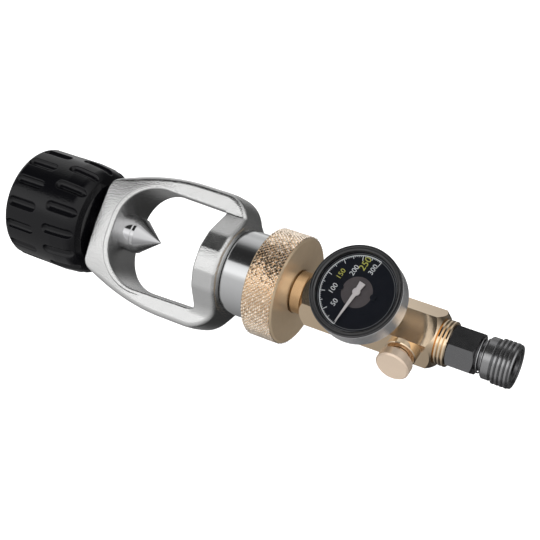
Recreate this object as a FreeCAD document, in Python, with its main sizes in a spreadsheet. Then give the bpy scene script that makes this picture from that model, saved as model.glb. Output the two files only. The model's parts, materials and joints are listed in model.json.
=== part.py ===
import FreeCAD, Part
import math
import operator
import os
import Sketcher
from FreeCAD import Placement, Rotation, Vector

# Cylinder fill adapter: a clamp yoke with its hand knob, and a handwheel half with a gauge,
# a bleed valve and a quick coupler.
# Frame: millimetres. X runs along the main axis from the knob to the coupler, Z points out of
# the yoke's front face, and Y runs across the yoke. The origin is on the main axis, at the face
# of the nozzle that seats on a cylinder valve.

doc = FreeCAD.newDocument("fill_adapter")
sheet = doc.addObject("Spreadsheet::Sheet", "Sizes")

SIGNS = {"+": operator.add, "-": operator.sub, "*": operator.mul, "/": operator.truediv}


class Size:
    """A value together with the expression that gives it in the document."""

    def __init__(self, text, value):
        self.text = text
        self.value = value

    def __add__(self, other):
        return joined(self, "+", other)

    def __radd__(self, other):
        return joined(other, "+", self)

    def __sub__(self, other):
        return joined(self, "-", other)

    def __rsub__(self, other):
        return joined(other, "-", self)

    def __mul__(self, other):
        return joined(self, "*", other)

    def __rmul__(self, other):
        return joined(other, "*", self)

    def __truediv__(self, other):
        return joined(self, "/", other)

    def __rtruediv__(self, other):
        return joined(other, "/", self)

    def __neg__(self):
        return joined(0, "-", self)


def as_size(item):
    return item if isinstance(item, Size) else Size(str(float(item)), float(item))


def joined(first, sign, second):
    first = as_size(first)
    second = as_size(second)
    return Size(f"({first.text} {sign} {second.text})", SIGNS[sign](first.value, second.value))


def root(inside):
    return Size(f"sqrt({inside.text})", math.sqrt(inside.value))


def sine(angle):
    return Size(f"sin({angle.text} * 1 deg)", math.sin(math.radians(angle.value)))


def cosine(angle):
    return Size(f"cos({angle.text} * 1 deg)", math.cos(math.radians(angle.value)))


def size(alias, value):
    """Writes one driving dimension into the next row of the sheet."""
    size.row += 1
    sheet.set(f"A{size.row}", alias)
    sheet.set(f"B{size.row}", str(value))
    sheet.setAlias(f"B{size.row}", alias)
    return Size(f"Sizes.{alias}", float(value))


size.row = 0

# Clearances
fit = size("fit", 0.05)
running = size("running", 0.08)
face_gap = size("face_gap", 0.1)
ring_gap = size("ring_gap", 0.3)
run_out = size("run_out", 1)

# Clamp yoke
yoke_width = size("yoke_width", 67)
arm_thickness = size("arm_thickness", 20)
boss_thickness = size("boss_thickness", 31)
boss_crown = size("boss_crown", 44)
boss_blend = size("boss_blend", 7)
flank_radius = size("flank_radius", 100)
flank_length = size("flank_length", 47.5)
heel_radius = size("heel_radius", 6)
window_length = size("window_length", 54)
window_width = size("window_width", 50)
window_taper = size("window_taper", 0.8)
window_corner = size("window_corner", 20)
window_foot_corner = size("window_foot_corner", 2)
heel_wall = size("heel_wall", 10.5)
bridge_thickness = size("bridge_thickness", 12.5)
bridge_height = size("bridge_height", 50)
bridge_corner = size("bridge_corner", 16)
hump_width = size("hump_width", 50)

# Clamp screw
screw_diameter = size("screw_diameter", 18)
screw_reach = size("screw_reach", 20)
screw_cone_length = size("screw_cone_length", 11)
screw_tip_radius = size("screw_tip_radius", 0.8)
screw_collar_length = size("screw_collar_length", 2.4)
screw_collar_drop = size("screw_collar_drop", 0.4)
journal_diameter = size("journal_diameter", 14)
edge_break = size("edge_break", 0.5)

# Hand knob
knob_diameter = size("knob_diameter", 56)
knob_length = size("knob_length", 44)
knob_gap = size("knob_gap", 2)
knob_end_drop = size("knob_end_drop", 0.8)
knob_end_rounding = size("knob_end_rounding", 5)
knob_shoulder_length = size("knob_shoulder_length", 14)
knob_nose_drop = size("knob_nose_drop", 3.5)
knob_nose_length = size("knob_nose_length", 5)
knob_face_bevel = size("knob_face_bevel", 1.5)
knob_cap_diameter = size("knob_cap_diameter", 28)
knob_cap_thickness = size("knob_cap_thickness", 2.5)
knob_cap_inset = size("knob_cap_inset", 0.6)
core_diameter = size("core_diameter", 22)
core_inset = size("core_inset", 8)
core_lip_thickness = size("core_lip_thickness", 1)
core_lip_depth = size("core_lip_depth", 2)
slot_count = size("slot_count", 15)
slot_width = size("slot_width", 5)
slot_depth = size("slot_depth", 1.5)
slot_length = size("slot_length", 17)
slot_inset = size("slot_inset", 2)
slot_band = size("slot_band", 5.5)
slot_stagger = size("slot_stagger", 8)
knob_screw_diameter = size("knob_screw_diameter", 6)
knob_screw_length = size("knob_screw_length", 14)
knob_screw_head_diameter = size("knob_screw_head_diameter", 12)
knob_screw_head_height = size("knob_screw_head_height", 3)

# Socket
nozzle_diameter = size("nozzle_diameter", 16.4)
nozzle_stand = size("nozzle_stand", 2)
neck_diameter = size("neck_diameter", 20)
socket_diameter = size("socket_diameter", 41)
socket_length = size("socket_length", 14.4)
socket_floor = size("socket_floor", 2)
socket_chamfer = size("socket_chamfer", 0.6)
thread_diameter = size("thread_diameter", 22.9)
passage_diameter = size("passage_diameter", 5)
filter_diameter = size("filter_diameter", 10)
filter_thickness = size("filter_thickness", 3)
filter_inset = size("filter_inset", 1.8)
clip_thickness = size("clip_thickness", 0.8)
clip_width = size("clip_width", 1.1)
clip_gap = size("clip_gap", 2.4)

# Handwheel and nipple
wheel_diameter = size("wheel_diameter", 52)
wheel_width = size("wheel_width", 16)
wheel_chamfer = size("wheel_chamfer", 0.9)
barrel_length = size("barrel_length", 11.2)
barrel_wall = size("barrel_wall", 2.2)
head_thickness = size("head_thickness", 3.9)
head_recess = size("head_recess", 2.8)
shank_diameter = size("shank_diameter", 12)
shank_engagement = size("shank_engagement", 9)
nipple_passage = size("nipple_passage", 4)
face_ring_diameter = size("face_ring_diameter", 11.2)
ring_section = size("ring_section", 1.8)
washer_diameter = size("washer_diameter", 20)
washer_thickness = size("washer_thickness", 1)
washer_stand = size("washer_stand", 0.2)

# Manifold
hub_diameter = size("hub_diameter", 20)
hub_length = size("hub_length", 6)
manifold_flats = size("manifold_flats", 24)
manifold_length = size("manifold_length", 65)
manifold_chamfer_length = size("manifold_chamfer_length", 2.6)
manifold_end_diameter = size("manifold_end_diameter", 23)
manifold_turn = size("manifold_turn", 11)
port_diameter = size("port_diameter", 9.7)
outlet_port_depth = size("outlet_port_depth", 10)
gauge_port_place = size("gauge_port_place", 35.5)
gauge_port_floor = size("gauge_port_floor", 4)
bleed_place = size("bleed_place", 52)
bleed_port_diameter = size("bleed_port_diameter", 8)
bleed_port_floor = size("bleed_port_floor", 5)

# Gauge, heights from the main axis
gauge_diameter = size("gauge_diameter", 40)
gauge_height = size("gauge_height", 44.4)
gauge_depth = size("gauge_depth", 13.2)
case_wall = size("case_wall", 1.1)
case_rounding = size("case_rounding", 2)
bezel_width = size("bezel_width", 1.8)
bezel_depth = size("bezel_depth", 0.8)
lens_thickness = size("lens_thickness", 0.8)
gasket_thickness = size("gasket_thickness", 0.6)
gasket_width = size("gasket_width", 1.6)
dial_thickness = size("dial_thickness", 0.6)
dial_drop = size("dial_drop", 2.9)
dial_bore = size("dial_bore", 4)
dial_screw_place = size("dial_screw_place", 7.5)
dial_screw_diameter = size("dial_screw_diameter", 1.6)
dial_screw_head = size("dial_screw_head", 2.6)
dial_screw_head_height = size("dial_screw_head_height", 0.5)
pointer_length = size("pointer_length", 15)
pointer_tail = size("pointer_tail", 4.5)
pointer_thickness = size("pointer_thickness", 0.4)
pointer_width = size("pointer_width", 1.8)
pointer_hub_diameter = size("pointer_hub_diameter", 3.4)
pointer_lift = size("pointer_lift", 0.6)
pointer_rest = size("pointer_rest", 256)
spindle_diameter = size("spindle_diameter", 1)
pinion_diameter = size("pinion_diameter", 2.8)
pinion_height = size("pinion_height", 1.2)
sector_radius = size("sector_radius", 7)
sector_sweep = size("sector_sweep", 84)
sector_thickness = size("sector_thickness", 0.8)
pivot_diameter = size("pivot_diameter", 1)
plate_thickness = size("plate_thickness", 0.8)
plate_gap = size("plate_gap", 3)
plate_width = size("plate_width", 8)
plate_end = size("plate_end", 10.6)
pillar_diameter = size("pillar_diameter", 2)
tube_radius = size("tube_radius", 15.6)
tube_thickness = size("tube_thickness", 1.6)
tube_height = size("tube_height", 3)
tube_start = size("tube_start", 60)
tube_sweep = size("tube_sweep", 240)
link_width = size("link_width", 1)
stem_flats = size("stem_flats", 14)
stem_hexagon = size("stem_hexagon", 9.5)
stem_washer_thickness = size("stem_washer_thickness", 1.5)
stem_washer_diameter = size("stem_washer_diameter", 15)
stem_neck_diameter = size("stem_neck_diameter", 11)
stem_nose_diameter = size("stem_nose_diameter", 8)

# Bleed valve, heights from the main axis
bonnet_diameter = size("bonnet_diameter", 14.6)
bonnet_thickness = size("bonnet_thickness", 2.8)
bonnet_chamfer = size("bonnet_chamfer", 0.4)
bleed_stem_diameter = size("bleed_stem_diameter", 5)
bleed_cone_length = size("bleed_cone_length", 2)
bleed_height = size("bleed_height", 23)
bleed_knob_diameter = size("bleed_knob_diameter", 15.5)
bleed_knob_thickness = size("bleed_knob_thickness", 5.4)
bleed_knob_chamfer = size("bleed_knob_chamfer", 0.7)
bleed_neck_diameter = size("bleed_neck_diameter", 9)
bleed_stem_grip = size("bleed_stem_grip", 4)

# Outlet and coupler
outlet_washer_count = size("outlet_washer_count", 3)
outlet_washer_thickness = size("outlet_washer_thickness", 1.7)
outlet_washer_diameter = size("outlet_washer_diameter", 20.6)
outlet_washer_bevel = size("outlet_washer_bevel", 0.45)
coupler_flats = size("coupler_flats", 18)
coupler_hexagon = size("coupler_hexagon", 12.6)
coupler_bevel = size("coupler_bevel", 0.9)
plug_bore = size("plug_bore", 8.2)
plug_depth = size("plug_depth", 18)
mouth_diameter = size("mouth_diameter", 10.4)
mouth_chamfer = size("mouth_chamfer", 1)
coupler_barrel_diameter = size("coupler_barrel_diameter", 13.8)
coupler_barrel_length = size("coupler_barrel_length", 15.9)
ball_count = size("ball_count", 6)
ball_diameter = size("ball_diameter", 2.4)
ball_orbit = size("ball_orbit", 5.5)
ball_inset = size("ball_inset", 3.1)
sleeve_diameter = size("sleeve_diameter", 20.2)
collar_diameter = size("collar_diameter", 18.8)
sleeve_length = size("sleeve_length", 13.2)
sleeve_gap = size("sleeve_gap", 3.3)
collar_length = size("collar_length", 4.6)
ridge_count = size("ridge_count", 4)
ridge_depth = size("ridge_depth", 0.75)
spring_room_diameter = size("spring_room_diameter", 17)
spring_room_length = size("spring_room_length", 5.4)
release_room_diameter = size("release_room_diameter", 16)
release_room_length = size("release_room_length", 2.4)
spring_wire = size("spring_wire", 0.7)
spring_turns = size("spring_turns", 4)
snap_ring_width = size("snap_ring_width", 0.7)
snap_ring_diameter = size("snap_ring_diameter", 15.4)
snap_groove_depth = size("snap_groove_depth", 0.5)
seal_place = size("seal_place", 4)

# Places along the main axis
bridge_right = nozzle_stand + bridge_thickness
socket_right = bridge_right + socket_length
socket_seat = bridge_right + socket_floor
window_left = nozzle_stand - window_length
yoke_left = window_left - heel_wall
screw_tip = window_left + screw_reach
knob_right = yoke_left - knob_gap
knob_left = knob_right - knob_length
wheel_left = socket_right + ring_gap
wheel_right = wheel_left + wheel_width
barrel_left = wheel_left - barrel_length
nipple_left = socket_seat + ring_gap
head_right = nipple_left + head_thickness
hub_left = wheel_right + washer_stand + face_gap
manifold_left = hub_left + hub_length
manifold_right = manifold_left + manifold_length
outlet_left = manifold_right + outlet_washer_count * outlet_washer_thickness
coupler_shoulder = outlet_left + coupler_hexagon
coupler_end = coupler_shoulder + coupler_barrel_length
sleeve_left = coupler_shoulder + sleeve_gap
ball_place = coupler_end - ball_inset
land_left = sleeve_left + spring_room_length
land_right = sleeve_left + sleeve_length - release_room_length
gauge_place = manifold_left + gauge_port_place
bleed_axis_place = manifold_left + bleed_place
flat_height = manifold_flats / 2

# Gauge heights
stem_bottom = gauge_port_floor + face_gap
stem_seat = flat_height + stem_washer_thickness
case_back = gauge_height - gauge_depth
case_inside = gauge_diameter / 2 - case_wall
bezel_bottom = gauge_height - bezel_depth
lens_bottom = bezel_bottom - lens_thickness
dial_top = gauge_height - dial_drop
dial_bottom = dial_top - dial_thickness
gasket_bottom = lens_bottom - gasket_thickness
upper_plate = dial_bottom - plate_thickness
lower_plate_top = upper_plate - plate_gap
lower_plate = lower_plate_top - plate_thickness
nose_top = lower_plate


def plane(body, role):
    return next(item for item in body.Origin.OriginFeatures if item.Role == role)


def arc_between(first, last, radius):
    """A circular arc from first to last. A positive radius turns left, a negative one right."""
    chord = last - first
    left = Vector(-chord.y, chord.x, 0) / chord.Length
    reach = math.sqrt(radius ** 2 - (chord.Length / 2) ** 2)
    centre = (first + last) / 2 + left * math.copysign(reach, radius)
    start, end = (first, last) if radius > 0 else (last, first)
    from_angle = math.atan2(start.y - centre.y, start.x - centre.x)
    to_angle = math.atan2(end.y - centre.y, end.x - centre.x)
    if to_angle <= from_angle:
        to_angle += 2 * math.pi
    circle = Part.Circle(centre, Vector(0, 0, 1), abs(radius))
    return Part.ArcOfCircle(circle, from_angle, to_angle)


def bind(sketch, kind, geometry, formula):
    """Adds one dimension to a sketch and binds it to its formula."""
    index = sketch.addConstraint(Sketcher.Constraint(kind, *geometry, formula.value))
    if "Sizes." in formula.text:
        sketch.setExpression(f"Constraints[{index}]", formula.text)


def draw(sketch, outline):
    """Draws a closed outline of corners (x, y), or (x, y, radius) where an arc follows."""
    corners = [(as_size(c[0]), as_size(c[1]), as_size(c[2]) if len(c) > 2 else None)
               for c in outline]
    base = len(sketch.Geometry)
    ends = []
    for index, (x, y, radius) in enumerate(corners):
        to_x, to_y, _ = corners[(index + 1) % len(corners)]
        first = Vector(x.value, y.value, 0)
        last = Vector(to_x.value, to_y.value, 0)
        if radius is None:
            sketch.addGeometry(Part.LineSegment(first, last))
            ends.append((1, 2))
        else:
            sketch.addGeometry(arc_between(first, last, radius.value))
            ends.append((1, 2) if radius.value > 0 else (2, 1))
    for index in range(len(corners)):
        before = (index - 1) % len(corners)
        sketch.addConstraint(Sketcher.Constraint("Coincident", base + before, ends[before][1],
                                                 base + index, ends[index][0]))
    for index, (x, y, radius) in enumerate(corners):
        bind(sketch, "DistanceX", (-1, 1, base + index, ends[index][0]), x)
        bind(sketch, "DistanceY", (-1, 1, base + index, ends[index][0]), y)
        if radius is not None:
            positive = radius if radius.value > 0 else -radius
            bind(sketch, "Radius", (base + index,), positive)


def draw_circle(sketch, x, y, radius):
    """Draws a whole circle."""
    x, y, radius = as_size(x), as_size(y), as_size(radius)
    circle = Part.Circle(Vector(x.value, y.value, 0), Vector(0, 0, 1), radius.value)
    index = sketch.addGeometry(circle)
    bind(sketch, "DistanceX", (-1, 1, index, 3), x)
    bind(sketch, "DistanceY", (-1, 1, index, 3), y)
    bind(sketch, "Radius", (index,), radius)


def sketch_in(body, role, lift=0, turn=0):
    """A sketch on one of the body's planes, lifted off it and turned about its X direction."""
    lift, turn = as_size(lift), as_size(turn)
    sketch = body.newObject("Sketcher::SketchObject", f"{body.Name}_sketch")
    sketch.AttachmentSupport = [(plane(body, role), "")]
    sketch.MapMode = "FlatFace"
    if turn.value == 0:
        sketch.AttachmentOffset = Placement(Vector(0, 0, lift.value), Rotation())
        if "Sizes." in lift.text:
            sketch.setExpression("AttachmentOffset.Base.z", lift.text)
        return sketch
    side = -(lift * sine(turn))
    height = lift * cosine(turn)
    sketch.AttachmentOffset = Placement(Vector(0, side.value, height.value),
                                        Rotation(Vector(1, 0, 0), turn.value))
    sketch.setExpression("AttachmentOffset.Base.y", side.text)
    sketch.setExpression("AttachmentOffset.Base.z", height.text)
    sketch.setExpression("AttachmentOffset.Rotation.Angle", turn.text)
    return sketch


def feature(body, kind, sketch):
    made = body.newObject(f"PartDesign::{kind}", f"{body.Name}_{kind.lower()}")
    made.Profile = sketch
    sketch.Visibility = False
    return made


def built(body, cut_from=None):
    """Recomputes, and makes sure that a cut really took something away."""
    doc.recompute()
    volume = body.Shape.Volume
    if cut_from is not None and volume > cut_from - 1e-4:
        raise RuntimeError(f"{body.Name}: a cut took nothing away")
    return volume


def revolve(body, outline, along="X"):
    """Turns an outline of (place along the axis, radius) round the body's X or Z axis."""
    return spin(body, "Revolution", outline, along)


def groove(body, outline, along="X"):
    """Cuts a turned outline out of the body."""
    before = built(body)
    made = spin(body, "Groove", outline, along)
    built(body, before)
    return made


def spin(body, kind, outline, along):
    if along == "X":
        sketch = sketch_in(body, "XY_Plane")
        draw(sketch, outline)
        axis = "H_Axis"
    else:
        sketch = sketch_in(body, "XZ_Plane")
        draw(sketch, [(corner[1], corner[0]) + tuple(corner[2:]) for corner in outline])
        axis = "V_Axis"
    made = feature(body, kind, sketch)
    made.ReferenceAxis = (sketch, [axis])
    made.Angle = 360
    doc.recompute()
    return made


def pad(body, sketch, length, centred=False):
    made = feature(body, "Pad", sketch)
    made.Midplane = centred
    made.Length = length.value
    made.setExpression("Length", length.text)
    doc.recompute()
    return made


def pocket(body, sketch, both_ways=False, outward=True):
    """Cuts a sketch right through, both ways or only away from the body's middle."""
    before = built(body)
    made = feature(body, "Pocket", sketch)
    made.Type = "ThroughAll"
    made.Midplane = both_ways
    made.Reversed = outward and not both_ways
    built(body, before)
    return made


def around(body, original, count, role="X_Axis"):
    """Repeats a feature evenly round an axis of the body."""
    made = body.newObject("PartDesign::PolarPattern", f"{body.Name}_pattern")
    made.Originals = [original]
    made.Axis = (plane(body, role), [""])
    made.Angle = 360
    made.Occurrences = int(count.value)
    made.setExpression("Occurrences", count.text)
    body.Tip = made
    doc.recompute()
    return made


def mirrored(body, originals, role):
    made = body.newObject("PartDesign::Mirrored", f"{body.Name}_mirror")
    made.Originals = originals
    made.MirrorPlane = (plane(body, role), [""])
    body.Tip = made
    doc.recompute()
    return made


def hexagon(body, flats, start, length, turn=0):
    """A hexagonal bar along X, with a flat facing Z before it is turned."""
    made = body.newObject("PartDesign::AdditivePrism", f"{body.Name}_hexagon")
    made.AttachmentSupport = [(plane(body, "YZ_Plane"), "")]
    made.MapMode = "FlatFace"
    made.AttachmentOffset = Placement(Vector(0, 0, start.value), Rotation(Vector(0, 0, 1), turn))
    made.setExpression("AttachmentOffset.Base.z", start.text)
    made.Polygon = 6
    across = flats / math.sqrt(3)
    made.Circumradius = across.value
    made.setExpression("Circumradius", across.text)
    made.Height = length.value
    made.setExpression("Height", length.text)
    doc.recompute()
    return made


NODES = []


def new_body(name, x=0, turn=0):
    """A named piece, placed at x on the main axis and turned about it."""
    x, turn = as_size(x), as_size(turn)
    body = doc.addObject("PartDesign::Body", name)
    body.Label = name
    body.Placement = Placement(Vector(x.value, 0, 0), Rotation(Vector(1, 0, 0), turn.value))
    if "Sizes." in x.text:
        body.setExpression("Placement.Base.x", x.text)
    if "Sizes." in turn.text:
        body.setExpression("Placement.Rotation.Angle", turn.text)
    NODES.append(body)
    return body


def turned(name, outline, x=0, turn=0, along="X"):
    body = new_body(name, x, turn)
    revolve(body, outline, along)
    return body


def ring(start, end, inner, outer):
    """The outline of a plain ring or, with no inner radius, of a disc."""
    return [(start, inner), (start, outer), (end, outer), (end, inner)]


# Clamp yoke: curved heel, flat arms, and a bridge with a round hump on both faces

yoke = new_body("yoke")
half_width = yoke_width / 2
flank_end = yoke_left + flank_length
flank_centre = half_width - flank_radius
heel_reach = flank_end - yoke_left - heel_radius
inner_radius = flank_radius - heel_radius
heel_centre = flank_centre + root(inner_radius * inner_radius - heel_reach * heel_reach)
tangent_ratio = flank_radius / inner_radius
tangent_x = flank_end - heel_reach * tangent_ratio
tangent_y = flank_centre + (heel_centre - flank_centre) * tangent_ratio
arms_plan = sketch_in(yoke, "XY_Plane")
draw(arms_plan, [
    (yoke_left, -heel_centre, heel_radius),
    (tangent_x, -tangent_y, flank_radius),
    (flank_end, -half_width),
    (bridge_right, -half_width),
    (bridge_right, half_width),
    (flank_end, half_width, flank_radius),
    (tangent_x, tangent_y, heel_radius),
    (yoke_left, heel_centre),
])
pad(yoke, arms_plan, bridge_height, centred=True)

arm_half = arm_thickness / 2
boss_half = boss_thickness / 2
crown_centre = boss_half - boss_crown
blend_height = arm_half + boss_blend - crown_centre
reach_sum = boss_crown + boss_blend
blend_centre = root(reach_sum * reach_sum - blend_height * blend_height)
blend_share = boss_crown / reach_sum
blend_y = blend_centre * blend_share
blend_z = crown_centre + blend_height * blend_share
beyond = bridge_height
front_waste = sketch_in(yoke, "YZ_Plane")
draw(front_waste, [
    (-beyond, arm_half),
    (-blend_centre, arm_half, boss_blend),
    (-blend_y, blend_z, -boss_crown),
    (blend_y, blend_z, boss_blend),
    (blend_centre, arm_half),
    (beyond, arm_half),
    (beyond, beyond),
    (-beyond, beyond),
])
front_cut = pocket(yoke, front_waste, both_ways=True)
mirrored(yoke, [front_cut], "XY_Plane")

hump_half = hump_width / 2
hump_rise = bridge_height / 2 - arm_half
hump_radius = (hump_half * hump_half + hump_rise * hump_rise) / (hump_rise * 2)
hump_section = sketch_in(yoke, "YZ_Plane", lift=nozzle_stand)
draw(hump_section, [
    (hump_half, -arm_half),
    (hump_half, arm_half, hump_radius),
    (-hump_half, arm_half),
    (-hump_half, -arm_half, hump_radius),
])
pad(yoke, hump_section, bridge_thickness)

corner_waste = sketch_in(yoke, "XY_Plane")
draw(corner_waste, [
    (bridge_right - bridge_corner, half_width, -bridge_corner),
    (bridge_right, half_width - bridge_corner),
    (bridge_right + bridge_corner, half_width - bridge_corner),
    (bridge_right + bridge_corner, half_width + bridge_corner),
    (bridge_right - bridge_corner, half_width + bridge_corner),
])
corner_cut = pocket(yoke, corner_waste, both_ways=True)
mirrored(yoke, [corner_cut], "XZ_Plane")

window_half = window_width / 2
foot_half = window_half - window_taper
window = sketch_in(yoke, "XY_Plane")
draw(window, [
    (window_left, window_half - window_corner),
    (window_left, window_corner - window_half, window_corner),
    (window_left + window_corner, -window_half),
    (nozzle_stand - window_foot_corner, -foot_half, window_foot_corner),
    (nozzle_stand, window_foot_corner - foot_half),
    (nozzle_stand, foot_half - window_foot_corner, window_foot_corner),
    (nozzle_stand - window_foot_corner, foot_half),
    (window_left + window_corner, window_half, window_corner),
])
pocket(yoke, window, both_ways=True)

screw_bore = screw_diameter / 2 + running
groove(yoke, ring(yoke_left - 1, window_left + 1, 0, screw_bore))
neck_bore = neck_diameter / 2 + fit
groove(yoke, ring(nozzle_stand - 1, bridge_right + 1, 0, neck_bore))

# Clamp screw, with the journal that carries the knob

journal = journal_diameter / 2
screw_half = screw_diameter / 2
core_left = knob_left + core_inset
journal_length = knob_right - core_left
cone_start = screw_tip - screw_cone_length - core_left
tip_start = screw_tip - screw_tip_radius - core_left
collar_start = cone_start - screw_collar_length
collar_radius = screw_half - screw_collar_drop
knob_screw_bore = knob_screw_diameter / 2 + running
turned("clamp_screw", [
    (0, knob_screw_bore),
    (0, journal - edge_break),
    (edge_break, journal),
    (journal_length + face_gap, journal),
    (journal_length + face_gap, screw_half - edge_break),
    (journal_length + face_gap + edge_break, screw_half),
    (collar_start, screw_half),
    (collar_start + screw_collar_drop, collar_radius),
    (cone_start - screw_collar_drop, collar_radius),
    (cone_start, collar_radius - screw_collar_drop),
    (tip_start, screw_tip_radius, -screw_tip_radius * 1.4),
    (screw_tip - core_left, 0),
    (knob_screw_length + run_out, 0),
    (knob_screw_length + run_out, knob_screw_bore),
], x=core_left)

# Hand knob: moulded grip, metal core, end cap and the screw that holds it on

knob_half = knob_diameter / 2
core_half = core_diameter / 2
cap_half = knob_cap_diameter / 2
end_half = knob_half - knob_end_drop
nose_half = knob_half - knob_nose_drop
cap_room = knob_cap_inset + knob_cap_thickness
grip = turned("knob_grip", [
    (0, cap_half + fit),
    (0, end_half - knob_end_rounding, -knob_end_rounding),
    (knob_end_rounding, end_half),
    (knob_shoulder_length, knob_half),
    (knob_length - knob_shoulder_length, knob_half),
    (knob_length - knob_nose_length - knob_face_bevel, knob_half - knob_end_drop, -knob_end_rounding * 2),
    (knob_length - knob_face_bevel, nose_half),
    (knob_length, nose_half - knob_face_bevel * 2),
    (knob_length, core_half),
    (core_inset, core_half),
    (core_inset, core_half - core_lip_depth),
    (core_inset - core_lip_thickness, core_half - core_lip_depth),
    (core_inset - core_lip_thickness, core_half),
    (cap_room, core_half),
    (cap_room, cap_half + fit),
], x=knob_left)


def slot_row(start, turn):
    """One row of lengthwise slots round the grip."""
    slot_end = slot_width / 2
    row = sketch_in(grip, "XY_Plane", lift=knob_half - slot_depth, turn=turn)
    draw(row, [
        (start + slot_end, slot_end, slot_end * 1.001),
        (start + slot_end, -slot_end),
        (start + slot_length - slot_end, -slot_end, slot_end * 1.001),
        (start + slot_length - slot_end, slot_end),
    ])
    around(grip, pocket(grip, row), slot_count)


slot_row(knob_length - slot_inset - slot_length, 0)
slot_row(knob_length - slot_inset - slot_length * 2 - slot_band, slot_stagger)

turned("knob_core", ring(core_inset, knob_length, journal + running, core_half - fit), x=knob_left)
turned("knob_cap", [
    (0, 0),
    (0, cap_half - edge_break),
    (edge_break, cap_half),
    (knob_cap_thickness, cap_half),
    (knob_cap_thickness, 0),
], x=knob_left + knob_cap_inset)
knob_screw_half = knob_screw_diameter / 2
knob_screw_head_half = knob_screw_head_diameter / 2
turned("knob_screw", [
    (0, 0),
    (0, knob_screw_head_half),
    (knob_screw_head_height, knob_screw_head_half),
    (knob_screw_head_height, knob_screw_half),
    (knob_screw_head_height + knob_screw_length, knob_screw_half),
    (knob_screw_head_height + knob_screw_length, 0),
], x=core_left - knob_screw_head_height - face_gap)

# Socket with the nozzle that seats on the valve, its filter and clip

socket_half = socket_diameter / 2
neck_half = neck_diameter / 2
thread_half = thread_diameter / 2
passage_half = passage_diameter / 2
filter_half = filter_diameter / 2
filter_room = filter_inset + filter_thickness
turned("din_socket", [
    (0, filter_half),
    (0, nozzle_diameter / 2),
    (nozzle_stand, nozzle_diameter / 2),
    (nozzle_stand, neck_half),
    (bridge_right, neck_half),
    (bridge_right, socket_half - socket_chamfer),
    (bridge_right + socket_chamfer, socket_half),
    (socket_right - socket_chamfer, socket_half),
    (socket_right, socket_half - socket_chamfer),
    (socket_right, thread_half),
    (socket_seat, thread_half),
    (socket_seat, passage_half),
    (filter_room, passage_half),
    (filter_room, filter_half),
])
turned("inlet_filter", ring(filter_inset, filter_room, 0, filter_half - fit))
clip_outer = filter_half - fit
clip = turned("filter_clip", ring(filter_inset - clip_thickness, filter_inset,
                                  clip_outer - clip_width, clip_outer))
clip_slot = sketch_in(clip, "XY_Plane")
draw(clip_slot, [
    (-1, -clip_gap / 2),
    (filter_inset + 1, -clip_gap / 2),
    (filter_inset + 1, clip_gap / 2),
    (-1, clip_gap / 2),
])
pocket(clip, clip_slot)

# Handwheel with its threaded barrel, and the nipple that it pushes into the socket

wheel_half = wheel_diameter / 2
barrel_half = thread_half - running
shank_half = shank_diameter / 2
head_room = barrel_half - barrel_wall
washer_room = washer_diameter / 2 + ring_gap
washer_left = wheel_right - washer_thickness + washer_stand
barrel_shoulder = barrel_left + head_recess
turned("din_handwheel", [
    (barrel_left, head_room),
    (barrel_left, barrel_half - edge_break),
    (barrel_left + edge_break, barrel_half),
    (wheel_left, barrel_half),
    (wheel_left, wheel_half - wheel_chamfer),
    (wheel_left + wheel_chamfer, wheel_half),
    (wheel_right - wheel_chamfer, wheel_half),
    (wheel_right, wheel_half - wheel_chamfer),
    (wheel_right, washer_room),
    (washer_left - fit, washer_room),
    (washer_left - fit, shank_half + running),
    (barrel_shoulder, shank_half + running),
    (barrel_shoulder, head_room),
])
nipple_half = nipple_passage / 2
head_half = head_room - running
face_ring_half = face_ring_diameter / 2
ring_half = ring_section / 2
ring_room = ring_half + fit
shank_right = manifold_left + shank_engagement - hub_length
turned("din_nipple", [
    (nipple_left, nipple_half),
    (nipple_left, face_ring_half - ring_room),
    (nipple_left + ring_section - ring_gap, face_ring_half - ring_room),
    (nipple_left + ring_section - ring_gap, face_ring_half + ring_room),
    (nipple_left, face_ring_half + ring_room),
    (nipple_left, head_half),
    (barrel_shoulder - face_gap, head_half),
    (barrel_shoulder - face_gap, shank_half),
    (shank_right, shank_half),
    (shank_right, nipple_half),
])


def seal_ring(name, middle, orbit, section_radius):
    """A round-section ring round the main axis."""
    seal = new_body(name)
    sketch = sketch_in(seal, "XY_Plane")
    draw_circle(sketch, middle, orbit, section_radius)
    made = feature(seal, "Revolution", sketch)
    made.ReferenceAxis = (sketch, ["H_Axis"])
    made.Angle = 360
    doc.recompute()
    return seal


seal_ring("din_oring", nipple_left + ring_section - ring_gap - ring_half, face_ring_half, ring_half)
turned("thrust_washer", ring(washer_left, washer_left + washer_thickness,
                             shank_half + running, washer_diameter / 2))

# Manifold: hub and hexagonal body with its ports. Its gauge flat faces the local Z.

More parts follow.
